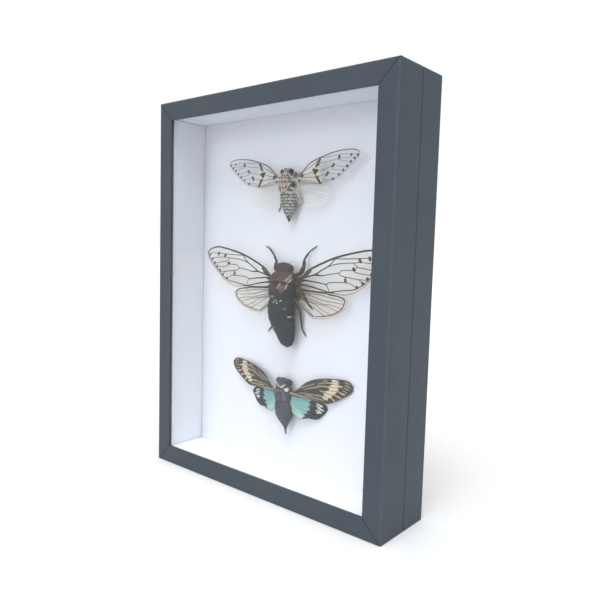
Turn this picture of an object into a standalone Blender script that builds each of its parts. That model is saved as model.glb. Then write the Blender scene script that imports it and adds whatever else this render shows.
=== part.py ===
"""Three mounted cicadas in a deep slate-grey box frame with a glass front.

Metres, +Z up. The case stands on its bottom rails: X runs across it, the glass faces -Y, and the
origin is in the middle of its base. An insect is modelled in a frame of its own, where X runs
across it, Y up the board towards its head and Z out of the board, and an empty on the face of the
board turns it upright.
"""

from dataclasses import dataclass
from math import cos, pi, radians, sin, sqrt

import bmesh
import bpy
from mathutils import Matrix, Vector

MM = 0.001

# The case.
CASE_WIDTH = 189 * MM
CASE_HEIGHT = 250 * MM
CASE_DEPTH = 45 * MM
FRONT = -CASE_DEPTH / 2
BACK = CASE_DEPTH / 2
GAP = 0.3 * MM

# The rails: a front layer with a lip over the glass, and a plain back layer behind it.
FRONT_LAYER = 23.1 * MM
RAIL_FACE = 12.3 * MM
RAIL_WALL = 8.0 * MM
LIP = 1.4 * MM
OUTER_ROUND = 1.0 * MM
REAR_ROUND = 1.5 * MM
LIP_ROUND = 0.4 * MM
GROOVE_ROUND = 0.5 * MM
ARC_STEPS = 3

# What lies inside the rails, from the glass to the back.
GLASS = 2.0 * MM
LINER = 2.8 * MM
BOARD_FACE = FRONT + 32.0 * MM
BOARD = 3.0 * MM
BACKING = 2.5 * MM
INNER_WIDTH = CASE_WIDTH - 2 * (RAIL_WALL + GAP)
INNER_HEIGHT = CASE_HEIGHT - 2 * (RAIL_WALL + GAP)
GLASS_FACE = FRONT + LIP + GAP
LINER_FACE = GLASS_FACE + GLASS + GAP
BACKING_FACE = BOARD_FACE + BOARD + GAP
BACKING_REAR = BACKING_FACE + BACKING

# The steel points that hold the backing board in, half sunk in the rails.
POINT_LENGTH = 13 * MM
POINT_WIDTH = 5 * MM
POINT_SUNK = 4 * MM
POINT_THICK = 0.5 * MM
POINTS_UP_THE_SIDES = (62 * MM, 188 * MM)

# The saw-toothed hanger and its two nails.
HANGER_WIDTH = 46 * MM
HANGER_HEIGHT = 9 * MM
HANGER_THICK = 0.8 * MM
HANGER_RISE = 1.8 * MM
HANGER_PAD = 7 * MM
HANGER_TOP = 234 * MM
TOOTH_PITCH = 2.6 * MM
TOOTH_DEPTH = 2.0 * MM
TEETH = 10
NAIL_SHANK = 0.6 * MM
NAIL_HEAD = 1.8 * MM
NAIL_HEAD_THICK = 0.6 * MM
NAIL_LENGTH = 2.4 * MM
NAIL_SIDES = 12

# The insects' solids.
BODY_SIDES = 14
WING_THICK = 0.5 * MM
ABDOMEN_RINGS = 7
RING_STEP = 0.94
ABDOMEN_DROP = 0.15
ABDOMEN_DEPTH = 0.96
SHARP_EDGE = radians(38)
EYE_SEGMENTS = 10
EYE_RINGS = 6
EYE_PLACE = 0.15

# Head and thorax: the share of their length from the front of the head, then the half width and
# the half height there as shares of the thorax's own.
THORAX_SECTIONS = (
    (0.02, 0.40, 0.36),
    (0.09, 0.66, 0.60),
    (0.20, 0.76, 0.72),
    (0.25, 0.72, 0.70),
    (0.28, 0.86, 0.84),
    (0.42, 0.96, 0.95),
    (0.54, 1.00, 1.00),
    (0.57, 0.91, 0.96),
    (0.72, 0.96, 1.00),
    (0.88, 0.88, 0.94),
    (1.00, 0.80, 0.84),
)


@dataclass
class Cicada:
    """One insect: its place on the board, its sizes in millimetres, and the outlines of a wing
    pair, as points out from the middle of the body and up from the level of its head's front."""

    name: str
    colour: tuple
    across: float
    head_height: float
    head_start: float
    length: float
    thorax_length: float
    half_width: float
    half_height: float
    mid_height: float
    abdomen_half_width: float
    abdomen_across: tuple
    taper: tuple
    eye_radius: float
    eye_reach: float
    wing_height: float
    wing_droop: float
    right_wing_turn: float
    forewing: tuple
    hindwing: tuple
    limbs: tuple


# Limbs are runs of (across, up, height above the board, radius) in millimetres. They are the legs,
# and on the turquoise cicada the egg-laying tube at its tail.
DARK_CICADA = Cicada(
    name="cicada_dark",
    colour=(0.035, 0.022, 0.016),
    across=1.8,
    head_height=145.6,
    head_start=0.2,
    length=54.5,
    thorax_length=26,
    half_width=9.8,
    half_height=7.6,
    mid_height=8.2,
    abdomen_half_width=10.2,
    abdomen_across=(-3.5, 1.2),
    taper=(3.6, 0.6),
    eye_radius=2.3,
    eye_reach=8.7,
    wing_height=6.8,
    wing_droop=0.6,
    right_wing_turn=1.0,
    forewing=(
        (13, -9.1), (18.3, -4.7), (28.3, -0.2), (40.3, 4.0), (57, 7.4), (65, 7.9), (71.8, 5.9),
        (74.4, 3.0), (73, 0), (68.7, -4.8), (57, -14.3), (50, -17.2), (45, -18.2), (37, -17.6),
        (28.8, -17.8), (17.5, -17.2), (5, -15.5), (5, -10),
    ),
    hindwing=(
        (5, -17), (17, -17.6), (30.6, -18.2), (39, -19), (44.5, -20.4), (47, -22.6), (43.8, -28),
        (34, -32.7), (27.5, -33.7), (21.4, -33.8), (15.5, -30), (6, -23),
    ),
    limbs=(
        ((-4, -9, 5, 1.0), (-10.8, -2.8, 5, 1.1), (-9.8, -0.3, 4.8, 0.8), (-14.0, 4.5, 3.2, 0.6),
         (-20.1, 8.6, 1.4, 0.5), (-23, 9.2, 1.0, 0.45)),
        ((4, -9, 5, 1.0), (10.9, -6.7, 5, 1.2), (12.8, -2.7, 4.8, 1.1), (12.1, 2.3, 3.4, 0.7),
         (14.7, 7.1, 1.6, 0.5), (19.5, 10.3, 1.0, 0.45)),
        ((-6, -15, 4, 1.0), (-14, -19, 4.2, 0.9), (-19, -25.4, 2, 0.6), (-22, -28, 1.0, 0.45)),
        ((6, -15, 4, 1.0), (13.8, -18.4, 4.2, 0.9), (19, -25.4, 2, 0.6), (22, -28, 1.0, 0.45)),
        ((-5, -22, 4, 1.0), (-10.6, -30.6, 3.2, 0.8), (-15, -42.5, 1.6, 0.6), (-19.4, -46.6, 1.0, 0.45)),
        ((4, -22, 4, 1.0), (9.6, -30.6, 3.2, 0.8), (10.1, -42, 1.6, 0.6), (12.8, -46.3, 1.0, 0.45)),
    ),
)

WHITE_CICADA = Cicada(
    name="cicada_white",
    colour=(0.62, 0.58, 0.5),
    across=1.4,
    head_height=204.5,
    head_start=0.2,
    length=34,
    thorax_length=17,
    half_width=5.6,
    half_height=4.8,
    mid_height=6.3,
    abdomen_half_width=5.4,
    abdomen_across=(-0.3, 0.0),
    taper=(2.4, 0.8),
    eye_radius=1.6,
    eye_reach=6.0,
    wing_height=6.3,
    wing_droop=0.4,
    right_wing_turn=0.0,
    forewing=(
        (9, -5.9), (14.5, -0.6), (20, 2.6), (31, 5.9), (39.5, 7.3), (46, 7.5), (50.8, 6.8),
        (53.2, 5.0), (52.4, 2.2), (46.5, -3.2), (39, -8.5), (30, -11.4), (22, -11.4), (12, -10.4),
        (3, -10), (3, -6.5),
    ),
    hindwing=(
        (3, -10), (12, -11.2), (24, -11.6), (30, -12.6), (32.8, -16.2), (30.5, -21), (25, -24.5),
        (18, -25.2), (11, -23.6), (4, -19),
    ),
    limbs=(
        ((-2, -5, 4, 0.7), (-3.6, -4.8, 3.2, 0.7), (-2.6, -3.4, 1.6, 0.5), (-1.2, -2.8, 0.8, 0.35)),
        ((2, -5, 4, 0.7), (3.6, -4.8, 3.2, 0.7), (2.6, -3.4, 1.6, 0.5), (1.2, -2.8, 0.8, 0.35)),
        ((-3, -11, 4, 0.7), (-8.4, -12, 3.0, 0.6), (-9.6, -15.6, 1.4, 0.45), (-8.8, -18, 0.8, 0.35)),
        ((3, -11, 4, 0.7), (8.4, -12, 3.0, 0.6), (9.6, -15.6, 1.4, 0.45), (8.8, -18, 0.8, 0.35)),
        ((-3, -15, 4, 0.7), (-8, -18.4, 2.8, 0.6), (-10.5, -24.6, 1.3, 0.45), (-12.4, -26.6, 0.8, 0.35)),
        ((3, -15, 4, 0.7), (8, -18.4, 3.4, 0.6), (6.6, -21.6, 1.3, 0.45), (5, -23.4, 0.8, 0.35)),
    ),
)

TURQUOISE_CICADA = Cicada(
    name="cicada_turquoise",
    colour=(0.045, 0.045, 0.05),
    across=1.3,
    head_height=72.7,
    head_start=1.3,
    length=35.4,
    thorax_length=18,
    half_width=6.8,
    half_height=5.2,
    mid_height=6.3,
    abdomen_half_width=7.3,
    abdomen_across=(-0.8, 2.0),
    taper=(2.5, 0.8),
    eye_radius=1.8,
    eye_reach=6.4,
    wing_height=6.0,
    wing_droop=5.0,
    right_wing_turn=-1.3,
    forewing=(
        (9.6, -9), (13, -6.3), (18, -1.8), (24.5, 1.2), (32, 3.1), (43.5, 4.3), (48, 3.7),
        (51, 1.6), (50.4, -1.5), (47.2, -4.6), (42, -8), (37, -10.7), (32, -12.1), (18.5, -11.6),
        (4, -12), (4, -9.6),
    ),
    hindwing=(
        (4, -12), (12, -12.2), (20, -12.4), (26, -12.6), (30.5, -14.1), (32.3, -16.6),
        (29.5, -20.5), (25, -24.2), (19, -24.6), (14, -25.8), (9.5, -24.6), (4, -20),
    ),
    limbs=(
        ((-2.4, -6, 4, 0.8), (-4.4, -5.6, 3.4, 0.8), (-3.4, -4.2, 1.7, 0.55), (-1.8, -3.8, 0.9, 0.4)),
        ((2.4, -6, 4, 0.8), (4.4, -5.6, 3.4, 0.8), (3.4, -4.2, 1.7, 0.55), (1.8, -3.8, 0.9, 0.4)),
        ((-3, -12, 4, 0.8), (-9, -13.4, 3.0, 0.7), (-10.4, -17.2, 1.5, 0.5), (-9.6, -20, 0.9, 0.4)),
        ((3, -12, 4, 0.8), (9, -13.4, 3.0, 0.7), (10.4, -17.2, 1.5, 0.5), (9.6, -20, 0.9, 0.4)),
        ((-3, -16, 4, 0.8), (-8.4, -19, 2.8, 0.7), (-7.0, -22.4, 1.4, 0.5), (-5.4, -24, 0.9, 0.4)),
        ((3, -16, 4, 0.8), (8.4, -19, 2.8, 0.7), (7.0, -22.4, 1.4, 0.5), (5.4, -24, 0.9, 0.4)),
        ((1.4, -31.5, 5.4, 1.0), (2.2, -35.2, 5.2, 0.7), (3.1, -38.2, 5.0, 0.5)),
    ),
)


def clear_scene():
    """Remove every object, so that the script can run again in the same file."""
    for old in list(bpy.data.objects):
        bpy.data.objects.remove(old, do_unlink=True)


def new_collection(name):
    """A collection of this name, linked to the scene."""
    collection = bpy.data.collections.get(name) or bpy.data.collections.new(name)
    if collection.name not in bpy.context.scene.collection.children:
        bpy.context.scene.collection.children.link(collection)
    return collection


def material(name, colour, roughness, metallic=0.0, transmission=0.0):
    """A Principled material."""
    finish = bpy.data.materials.new(name)
    finish.use_nodes = True
    shader = finish.node_tree.nodes["Principled BSDF"]
    shader.inputs["Base Color"].default_value = (*colour, 1)
    shader.inputs["Roughness"].default_value = roughness
    shader.inputs["Metallic"].default_value = metallic
    shader.inputs["Transmission Weight"].default_value = transmission
    return finish


def keep(obj, collection, name=None, finish=None):
    """Name an object and move it to a collection, with its material."""
    for old in list(obj.users_collection):
        old.objects.unlink(obj)
    collection.objects.link(obj)
    if name:
        obj.name = name
        obj.data.name = name
    if finish:
        obj.data.materials.clear()
        obj.data.materials.append(finish)
    return obj


def as_cutter(obj):
    """Hide a shape that only cuts or joins another one."""
    keep(obj, TOOLS)
    obj.hide_render = True
    obj.display_type = "WIRE"
    return obj


def box(low, high):
    """A box between two corners, with its size in its mesh."""
    size = Vector(high) - Vector(low)
    bpy.ops.mesh.primitive_cube_add(size=1, location=(Vector(high) + Vector(low)) / 2)
    obj = bpy.context.object
    obj.data.transform(Matrix.Diagonal((*size, 1)))
    return obj


def curve_mesh(curve):
    """The mesh object that stands for a curve object: caps welded, curve removed."""
    bpy.context.view_layer.update()
    evaluated = curve.evaluated_get(bpy.context.evaluated_depsgraph_get())
    mesh = bpy.data.meshes.new_from_object(evaluated)
    place = curve.matrix_world.copy()
    bpy.data.objects.remove(curve, do_unlink=True)
    shape = bmesh.new()
    shape.from_mesh(mesh)
    bmesh.ops.remove_doubles(shape, verts=shape.verts, dist=1e-6)
    bmesh.ops.recalc_face_normals(shape, faces=shape.faces)
    shape.to_mesh(mesh)
    shape.free()
    obj = bpy.data.objects.new("shape", mesh)
    bpy.context.scene.collection.objects.link(obj)
    obj.matrix_world = place
    return obj


def plate(points, thickness, smooth=False):
    """A flat plate in the XY plane, as thick as given, inside a closed outline of (x, y)."""
    curve = bpy.data.curves.new("outline", "CURVE")
    curve.dimensions = "2D"
    curve.fill_mode = "BOTH"
    curve.extrude = thickness / 2
    curve.resolution_u = 2
    curve.render_resolution_u = 0
    if smooth:
        spline = curve.splines.new("BEZIER")
        spline.bezier_points.add(len(points) - 1)
        for point, (x, y) in zip(spline.bezier_points, points):
            point.co = (x, y, 0)
            point.handle_left_type = "AUTO"
            point.handle_right_type = "AUTO"
    else:
        spline = curve.splines.new("POLY")
        spline.points.add(len(points) - 1)
        for point, (x, y) in zip(spline.points, points):
            point.co = (x, y, 0, 1)
    spline.use_cyclic_u = True
    obj = bpy.data.objects.new("outline", curve)
    bpy.context.scene.collection.objects.link(obj)
    return curve_mesh(obj)


def tube(points, radii):
    """A round tube with filled ends through the points, with a radius at each of them."""
    curve = bpy.data.curves.new("tube", "CURVE")
    curve.dimensions = "3D"
    curve.bevel_depth = 1
    curve.bevel_resolution = 1
    curve.use_fill_caps = True
    curve.render_resolution_u = 0
    spline = curve.splines.new("POLY")
    spline.points.add(len(points) - 1)
    for point, place, radius in zip(spline.points, points, radii):
        point.co = (*place, 1)
        point.radius = radius
    obj = bpy.data.objects.new("tube", curve)
    bpy.context.scene.collection.objects.link(obj)
    return curve_mesh(obj)


def rounded(corners):
    """The points of an outline whose right-angled corners (x, y, radius) become arcs."""
    points = []
    for index, (x, y, radius) in enumerate(corners):
        corner = Vector((x, y))
        if not radius:
            points.append(corner)
            continue
        before = (Vector(corners[index - 1][:2]) - corner).normalized()
        after = (Vector(corners[(index + 1) % len(corners)][:2]) - corner).normalized()
        centre = corner + (before + after) * radius
        for step in range(ARC_STEPS + 1):
            turn = step / ARC_STEPS * pi / 2
            points.append(centre - (after * cos(turn) + before * sin(turn)) * radius)
    return points


def join(target, tool, operation):
    """Cut one mesh with another, or unite the two, by an exact Boolean."""
    modifier = target.modifiers.new(operation.lower(), "BOOLEAN")
    modifier.operation = operation
    modifier.solver = "EXACT"
    modifier.object = tool


# The inward direction of each rail, and the middle of its outer face.
SIDES = {
    "bottom": (Vector((0, 0, 1)), Vector((0, 0, 0)), CASE_WIDTH),
    "top": (Vector((0, 0, -1)), Vector((0, 0, CASE_HEIGHT)), CASE_WIDTH),
    "left": (Vector((1, 0, 0)), Vector((-CASE_WIDTH / 2, 0, CASE_HEIGHT / 2)), CASE_HEIGHT),
    "right": (Vector((-1, 0, 0)), Vector((CASE_WIDTH / 2, 0, CASE_HEIGHT / 2)), CASE_HEIGHT),
}


def rail(name, section, side, finish):
    """A rail with mitred ends. Its section gives the distance in from the outer face and the
    depth, and the ends step back by the first of the two, less half the gap of the mitre."""
    inward, middle, length = SIDES[side]
    obj = plate(section, length)
    for vertex in obj.data.vertices:
        end = 1 if vertex.co.z > 0 else -1
        vertex.co.z = end * (length / 2 - vertex.co.x - GAP / 2 * sqrt(2))
    depth = Vector((0, 1, 0))
    turn = Matrix((inward, depth, inward.cross(depth))).transposed()
    obj.matrix_world = Matrix.Translation(middle) @ turn.to_4x4()
    return keep(obj, PARTS, name, finish)


def build_rails(finish):
    """The eight rails: four in front with a lip over the glass, and four behind."""
    joint = FRONT + FRONT_LAYER
    front_section = rounded([
        (0, FRONT, OUTER_ROUND),
        (RAIL_FACE, FRONT, LIP_ROUND),
        (RAIL_FACE, FRONT + LIP, 0),
        (RAIL_WALL, FRONT + LIP, 0),
        (RAIL_WALL, joint, 0),
        (0, joint, GROOVE_ROUND),
    ])
    back_section = rounded([
        (0, joint + GAP, GROOVE_ROUND),
        (RAIL_WALL, joint + GAP, 0),
        (RAIL_WALL, BACK, LIP_ROUND),
        (0, BACK, REAR_ROUND),
    ])
    back_rails = {}
    for side in SIDES:
        rail(f"front_rail_{side}", front_section, side, finish)
        back_rails[side] = rail(f"back_rail_{side}", back_section, side, finish)
    return back_rails


def build_lining(glass, card):
    """The glass, and the white box behind it: four liners and the board that carries the insects."""
    half = INNER_WIDTH / 2
    low, high = RAIL_WALL + GAP, CASE_HEIGHT - RAIL_WALL - GAP
    liner_back = BOARD_FACE - GAP
    keep(box((-half, GLASS_FACE, low), (half, GLASS_FACE + GLASS, high)), PARTS, "glass_pane", glass)
    for name, bottom in (("liner_bottom", low), ("liner_top", high - LINER)):
        piece = box((-half, LINER_FACE, bottom), (half, liner_back, bottom + LINER))
        keep(piece, PARTS, name, card)
    for name, edge in (("liner_left", -half), ("liner_right", half - LINER)):
        piece = box((edge, LINER_FACE, low + LINER + GAP), (edge + LINER, liner_back, high - LINER - GAP))
        keep(piece, PARTS, name, card)
    board = box((-half, BOARD_FACE, low), (half, BOARD_FACE + BOARD, high))
    keep(board, PARTS, "mount_board", card)


def build_backing(back_rails, board_finish, steel):
    """The backing board, the steel points that hold it in the rails, the hanger and its nails."""
    half = INNER_WIDTH / 2
    low, high = RAIL_WALL + GAP, CASE_HEIGHT - RAIL_WALL - GAP
    board = box((-half, BACKING_FACE, low), (half, BACKING_REAR, high))
    keep(board, PARTS, "backing_board", board_finish)

    places = [("left", height - CASE_HEIGHT / 2) for height in POINTS_UP_THE_SIDES]
    places += [("right", height - CASE_HEIGHT / 2) for height in POINTS_UP_THE_SIDES]
    places += [("bottom", 0.0), ("top", 0.0)]
    for number, (side, along) in enumerate(places, start=1):
        backing_point(number, side, along, back_rails[side], steel)
    build_hanger(board, steel)


def backing_point(number, side, along, back_rail, steel):
    """A lozenge of steel sheet, half in a slot of the rail and half over the backing board."""
    inward, middle, _ = SIDES[side]
    sideways = Vector((0, 0, 1)) if inward.x else Vector((1, 0, 0))
    depth = BACKING_REAR + GAP + POINT_THICK / 2
    root = middle + inward * (RAIL_WALL - POINT_SUNK) + sideways * along
    root.y = depth
    blunt = POINT_WIDTH / 4
    outline = [
        (0, -blunt), (POINT_SUNK, -2 * blunt), (POINT_LENGTH - POINT_SUNK, -2 * blunt),
        (POINT_LENGTH, 0), (POINT_LENGTH - POINT_SUNK, 2 * blunt), (POINT_SUNK, 2 * blunt), (0, blunt),
    ]
    point = plate(outline, POINT_THICK)
    turn = Matrix((inward, inward.cross(Vector((0, 1, 0))), -Vector((0, 1, 0)))).transposed()
    point.matrix_world = Matrix.Translation(root) @ turn.to_4x4()
    keep(point, PARTS, f"backing_point_{number}", steel)

    slack = Vector((GAP, POINT_THICK / 2 + GAP, GAP))
    inner = root + inward * (POINT_SUNK + GAP)
    across = sideways * POINT_WIDTH / 2
    corners = [root - inward * GAP - across, inner + across]
    low = Vector([min(c[axis] for c in corners) for axis in range(3)])
    high = Vector([max(c[axis] for c in corners) for axis in range(3)])
    thin = Vector((0 if inward.x else slack.x, slack.y, 0 if inward.z else slack.z))
    join(back_rail, as_cutter(box(low - thin, high + thin)), "DIFFERENCE")


def build_hanger(board, steel):
    """A saw-toothed strip, raised between its nailed ends, with its teeth along the lower edge."""
    half = HANGER_WIDTH / 2
    flat = BACKING_REAR + GAP
    raised = flat + HANGER_RISE
    run = [
        (-half, flat), (-half + HANGER_PAD, flat), (-half + HANGER_PAD + HANGER_RISE, raised),
        (half - HANGER_PAD - HANGER_RISE, raised), (half - HANGER_PAD, flat), (half, flat),
    ]
    outline = run + [(x, y + HANGER_THICK) for x, y in reversed(run)]
    strip = plate(outline, HANGER_HEIGHT)
    strip.location = (0, 0, HANGER_TOP - HANGER_HEIGHT / 2)
    keep(strip, PARTS, "sawtooth_hanger", steel)

    bottom = HANGER_TOP - HANGER_HEIGHT
    start = -TEETH / 2 * TOOTH_PITCH
    teeth = [(start, -TOOTH_PITCH)]
    for tooth in range(TEETH):
        teeth.append((start + tooth * TOOTH_PITCH, 0))
        teeth.append((start + (tooth + 0.5) * TOOTH_PITCH, TOOTH_DEPTH))
    teeth += [(-start, 0), (-start, -TOOTH_PITCH)]
    saw = plate(teeth, CASE_DEPTH / 4)
    saw.rotation_euler.x = radians(90)
    saw.location = (0, raised, bottom)
    join(strip, as_cutter(saw), "DIFFERENCE")

    for side, sign in (("left", -1), ("right", 1)):
        spot = Vector((sign * (half - HANGER_PAD / 2), flat, HANGER_TOP - HANGER_HEIGHT / 2))
        for target in (strip, board):
            bpy.ops.mesh.primitive_cylinder_add(
                vertices=NAIL_SIDES, radius=NAIL_SHANK + GAP, depth=4 * NAIL_LENGTH,
                location=spot, rotation=(radians(90), 0, 0),
            )
            join(target, as_cutter(bpy.context.object), "DIFFERENCE")
        nail(f"hanger_nail_{side}", spot + Vector((0, HANGER_THICK + GAP, 0)), steel)


def nail(name, spot, steel):
    """A round nail whose head stands on a spot and whose shank runs inwards from there."""
    profile = [
        (0, NAIL_HEAD_THICK), (NAIL_HEAD * 0.7, NAIL_HEAD_THICK * 0.8), (NAIL_HEAD, 0),
        (NAIL_SHANK, 0), (NAIL_SHANK, -NAIL_LENGTH), (0, -NAIL_LENGTH - NAIL_SHANK),
    ]
    mesh = bpy.data.meshes.new(name)
    edges = [(index, index + 1) for index in range(len(profile) - 1)]
    mesh.from_pydata([(radius, 0, height) for radius, height in profile], edges, [])
    obj = bpy.data.objects.new(name, mesh)
    bpy.context.scene.collection.objects.link(obj)
    screw = obj.modifiers.new("turned", "SCREW")
    screw.steps = NAIL_SIDES
    screw.render_steps = NAIL_SIDES
    screw.use_merge_vertices = True
    screw.merge_threshold = 1e-6
    obj.location = spot
    obj.rotation_euler.x = radians(-90)
    return keep(obj, PARTS, name, steel)


def thorax_place(insect, share):
    """How far down from the top of the insect a share of its head and thorax lies."""
    return insect.head_start + share * (insect.thorax_length - insect.head_start)


def body_sections(insect):
    """The rings of a body from head to tail: (distance from the head, across, half width, half
    height, middle height). The abdomen narrows as (1 - t^p)^q, with a small step at each segment."""
    sections = []
    for share, width, height in THORAX_SECTIONS:
        sections.append((
            thorax_place(insect, share), share ** 3 * insect.abdomen_across[0],
            width * insect.half_width, height * insect.half_height, insect.mid_height,
        ))
    p, q = insect.taper
    start = insect.thorax_length
    run = insect.length - start
    near, far = insect.abdomen_across
    flatness = ABDOMEN_DEPTH * insect.half_height / insect.half_width
    for ring in range(ABDOMEN_RINGS):
        for share, step in ((0.08, 1.0), (0.92, RING_STEP)):
            t = (ring + share) / ABDOMEN_RINGS
            width = insect.abdomen_half_width * (1 - t ** p) ** q * step
            drop = ABDOMEN_DROP * t * insect.half_height
            sections.append((
                start + t * run, near + t * (far - near), width, width * flatness,
                insect.mid_height - drop,
            ))
    return sections


def body(insect):
    """A body lofted through elliptical rings, closed to a point at both ends."""
    shape = bmesh.new()
    sections = body_sections(insect)
    rings = []
    for distance, across, width, height, middle in sections:
        ring = []
        for side in range(BODY_SIDES):
            turn = 2 * pi * side / BODY_SIDES
            place = Vector((across + width * cos(turn), -distance, middle + height * sin(turn)))
            ring.append(shape.verts.new(place * MM))
        rings.append(ring)
    nose = shape.verts.new(Vector((0, -insect.head_start, insect.mid_height)) * MM)
    tail = shape.verts.new(Vector((insect.abdomen_across[1], -insect.length, sections[-1][4])) * MM)
    for ahead, behind in zip(rings, rings[1:]):
        for side in range(BODY_SIDES):
            after = (side + 1) % BODY_SIDES
            shape.faces.new((ahead[side], ahead[after], behind[after], behind[side]))
    for side in range(BODY_SIDES):
        after = (side + 1) % BODY_SIDES
        shape.faces.new((nose, rings[0][after], rings[0][side]))
        shape.faces.new((tail, rings[-1][side], rings[-1][after]))
    bmesh.ops.recalc_face_normals(shape, faces=shape.faces)
    mesh = bpy.data.meshes.new(insect.name)
    shape.to_mesh(mesh)
    shape.free()
    mesh.shade_smooth()
    mesh.set_sharp_from_angle(angle=SHARP_EDGE)
    obj = bpy.data.objects.new(insect.name, mesh)
    bpy.context.scene.collection.objects.link(obj)
    return obj


def wing(insect, outline, side, lower):
    """A wing plate on one side, turned about its root, that sinks evenly from root to tip."""
    turn = radians(insect.right_wing_turn) if side > 0 else 0.0
    points = []
    for x, y in outline:
        points.append((side * x * MM, (y + sin(turn) * (x - insect.half_width)) * MM))
    obj = plate(points, WING_THICK, smooth=True)
    reach = max(x for x, _ in outline) * MM
    root = insect.half_width * MM
    for vertex in obj.data.vertices:
        along = max(0.0, (abs(vertex.co.x) - root) / (reach - root))
        vertex.co.z += (insect.wing_height - lower - insect.wing_droop * along) * MM
    return obj


def eye(insect, side):
    """A round eye on one side of the head."""
    bpy.ops.mesh.primitive_uv_sphere_add(
        segments=EYE_SEGMENTS, ring_count=EYE_RINGS, radius=insect.eye_radius * MM,
    )
    obj = bpy.context.object
    across = insect.eye_reach - insect.eye_radius
    place = Vector((side * across, -thorax_place(insect, EYE_PLACE), insect.mid_height)) * MM
    obj.data.transform(Matrix.Translation(place))
    return obj


def build_insect(insect):
    """One insect: its body, united with its wings, eyes and legs."""
    holder = bpy.data.objects.new(f"{insect.name}_place", None)
    bpy.context.scene.collection.objects.link(holder)
    holder.location = (insect.across * MM, BOARD_FACE, insect.head_height * MM)
    holder.rotation_euler.x = radians(90)

    finish = material(insect.name, insect.colour, 0.5)
    whole = keep(body(insect), PARTS, insect.name, finish)
    pieces = []
    for side in (-1, 1):
        pieces.append(wing(insect, insect.forewing, side, 0.0))
        pieces.append(wing(insect, insect.hindwing, side, 0.8))
        pieces.append(eye(insect, side))
    for limb in insect.limbs:
        points = [Vector(point[:3]) * MM for point in limb]
        pieces.append(tube(points, [point[3] * MM for point in limb]))
    for piece in pieces:
        join(whole, as_cutter(piece), "UNION")
        piece.parent = holder
    whole.parent = holder


clear_scene()
PARTS = new_collection("Framed cicadas")
TOOLS = new_collection("Cutters and joined shapes")

slate = material("slate_frame", (0.075, 0.09, 0.105), 0.5)
white_card = material("white_card", (0.82, 0.82, 0.84), 0.8)
clear_glass = material("clear_glass", (1.0, 1.0, 1.0), 0.02, transmission=1.0)
brown_board = material("brown_board", (0.2, 0.12, 0.065), 0.85)
steel_sheet = material("steel_sheet", (0.55, 0.55, 0.55), 0.35, metallic=1.0)

rails_behind = build_rails(slate)
build_lining(clear_glass, white_card)
build_backing(rails_behind, brown_board, steel_sheet)
for cicada in (WHITE_CICADA, DARK_CICADA, TURQUOISE_CICADA):
    build_insect(cicada)
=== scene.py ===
"""The looks of three mounted cicadas in a slate-grey box frame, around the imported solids.

Metres, +Z up, and the glass faces -Y. Each insect is worked out in millimetres in a flat frame of
its own: x across it, y up the board from the level of its head's front, and h out of the board.
"""

import logging
from dataclasses import dataclass, replace
from enum import Enum
from math import cos, pi, radians, sin
from typing import TypeVar

import bmesh
import bpy
import numpy as np
from mathutils import Matrix, Vector

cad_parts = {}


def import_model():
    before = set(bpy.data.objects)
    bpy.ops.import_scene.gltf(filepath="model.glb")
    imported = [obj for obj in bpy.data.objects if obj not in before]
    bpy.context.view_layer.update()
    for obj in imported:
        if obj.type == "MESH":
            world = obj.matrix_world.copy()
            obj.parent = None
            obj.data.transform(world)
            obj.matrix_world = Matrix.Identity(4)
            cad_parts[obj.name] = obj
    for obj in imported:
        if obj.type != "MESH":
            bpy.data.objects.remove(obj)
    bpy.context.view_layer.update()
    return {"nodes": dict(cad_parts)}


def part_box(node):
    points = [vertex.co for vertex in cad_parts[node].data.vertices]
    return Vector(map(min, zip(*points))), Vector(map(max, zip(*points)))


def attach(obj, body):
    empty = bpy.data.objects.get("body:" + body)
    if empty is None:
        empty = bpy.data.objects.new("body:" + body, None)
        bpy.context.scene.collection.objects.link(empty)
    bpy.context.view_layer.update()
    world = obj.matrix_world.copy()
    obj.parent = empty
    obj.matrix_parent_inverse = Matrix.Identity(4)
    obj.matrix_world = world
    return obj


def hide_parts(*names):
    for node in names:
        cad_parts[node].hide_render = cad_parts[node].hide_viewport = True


MM = 0.001
# Points that are nearer to each other than this, in metres, are merged.
WELD = 2e-6
# The wings, in millimetres: how thick the film is, and how far the veins' middles lie above it.
FILM_THICKNESS = 0.06
VEIN_LIFT = 0.03
# How many corners the rings of the tubes have, and the height of a vein's ring over its width.
VEIN_SIDES = 6
LEG_SIDES = 12
FEELER_SIDES = 8
VEIN_FLATNESS = 0.7
# How many steps a leg has from joint to joint and a feeler in all, and an eye from pole to pole.
LEG_STEPS = 18
FEELER_STEPS = 24
EYE_STEPS = 28
SMALL_EYE_STEPS = 12
# A leg's spines and claws, in millimetres: how long they are, and how thick at the foot.
SPINE = (0.95, 0.13)
CLAW = (0.9, 0.16)
# The case, in metres: its middle, and half its width, depth and height.
CASE_MIDDLE = (0.0, 0.0, 0.125)
CASE_HALF = (0.0945, 0.0225, 0.125)
LOG = logging.getLogger("cicadas")

Triple = tuple[float, float, float]
Colour = Triple
# Red, green, blue and the share of the ground that is covered.
Tint = tuple[float, float, float, float]
Points = tuple[tuple[float, ...], ...]


class Side(Enum):
    """The insect's wings and legs on the left and on the right, as the glass is looked at."""

    LEFT = -1
    RIGHT = 1


class Channel(Enum):
    """The masks that an insect's surface carries for its material."""

    GLOW = "glow"
    MARK = "mark"
    PALE = "pale"


class Grain(Enum):
    """The way in which the brush marks of the lacquer run."""

    UPRIGHT = (900.0, 900.0, 22.0)
    LEVEL = (22.0, 900.0, 900.0)


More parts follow.
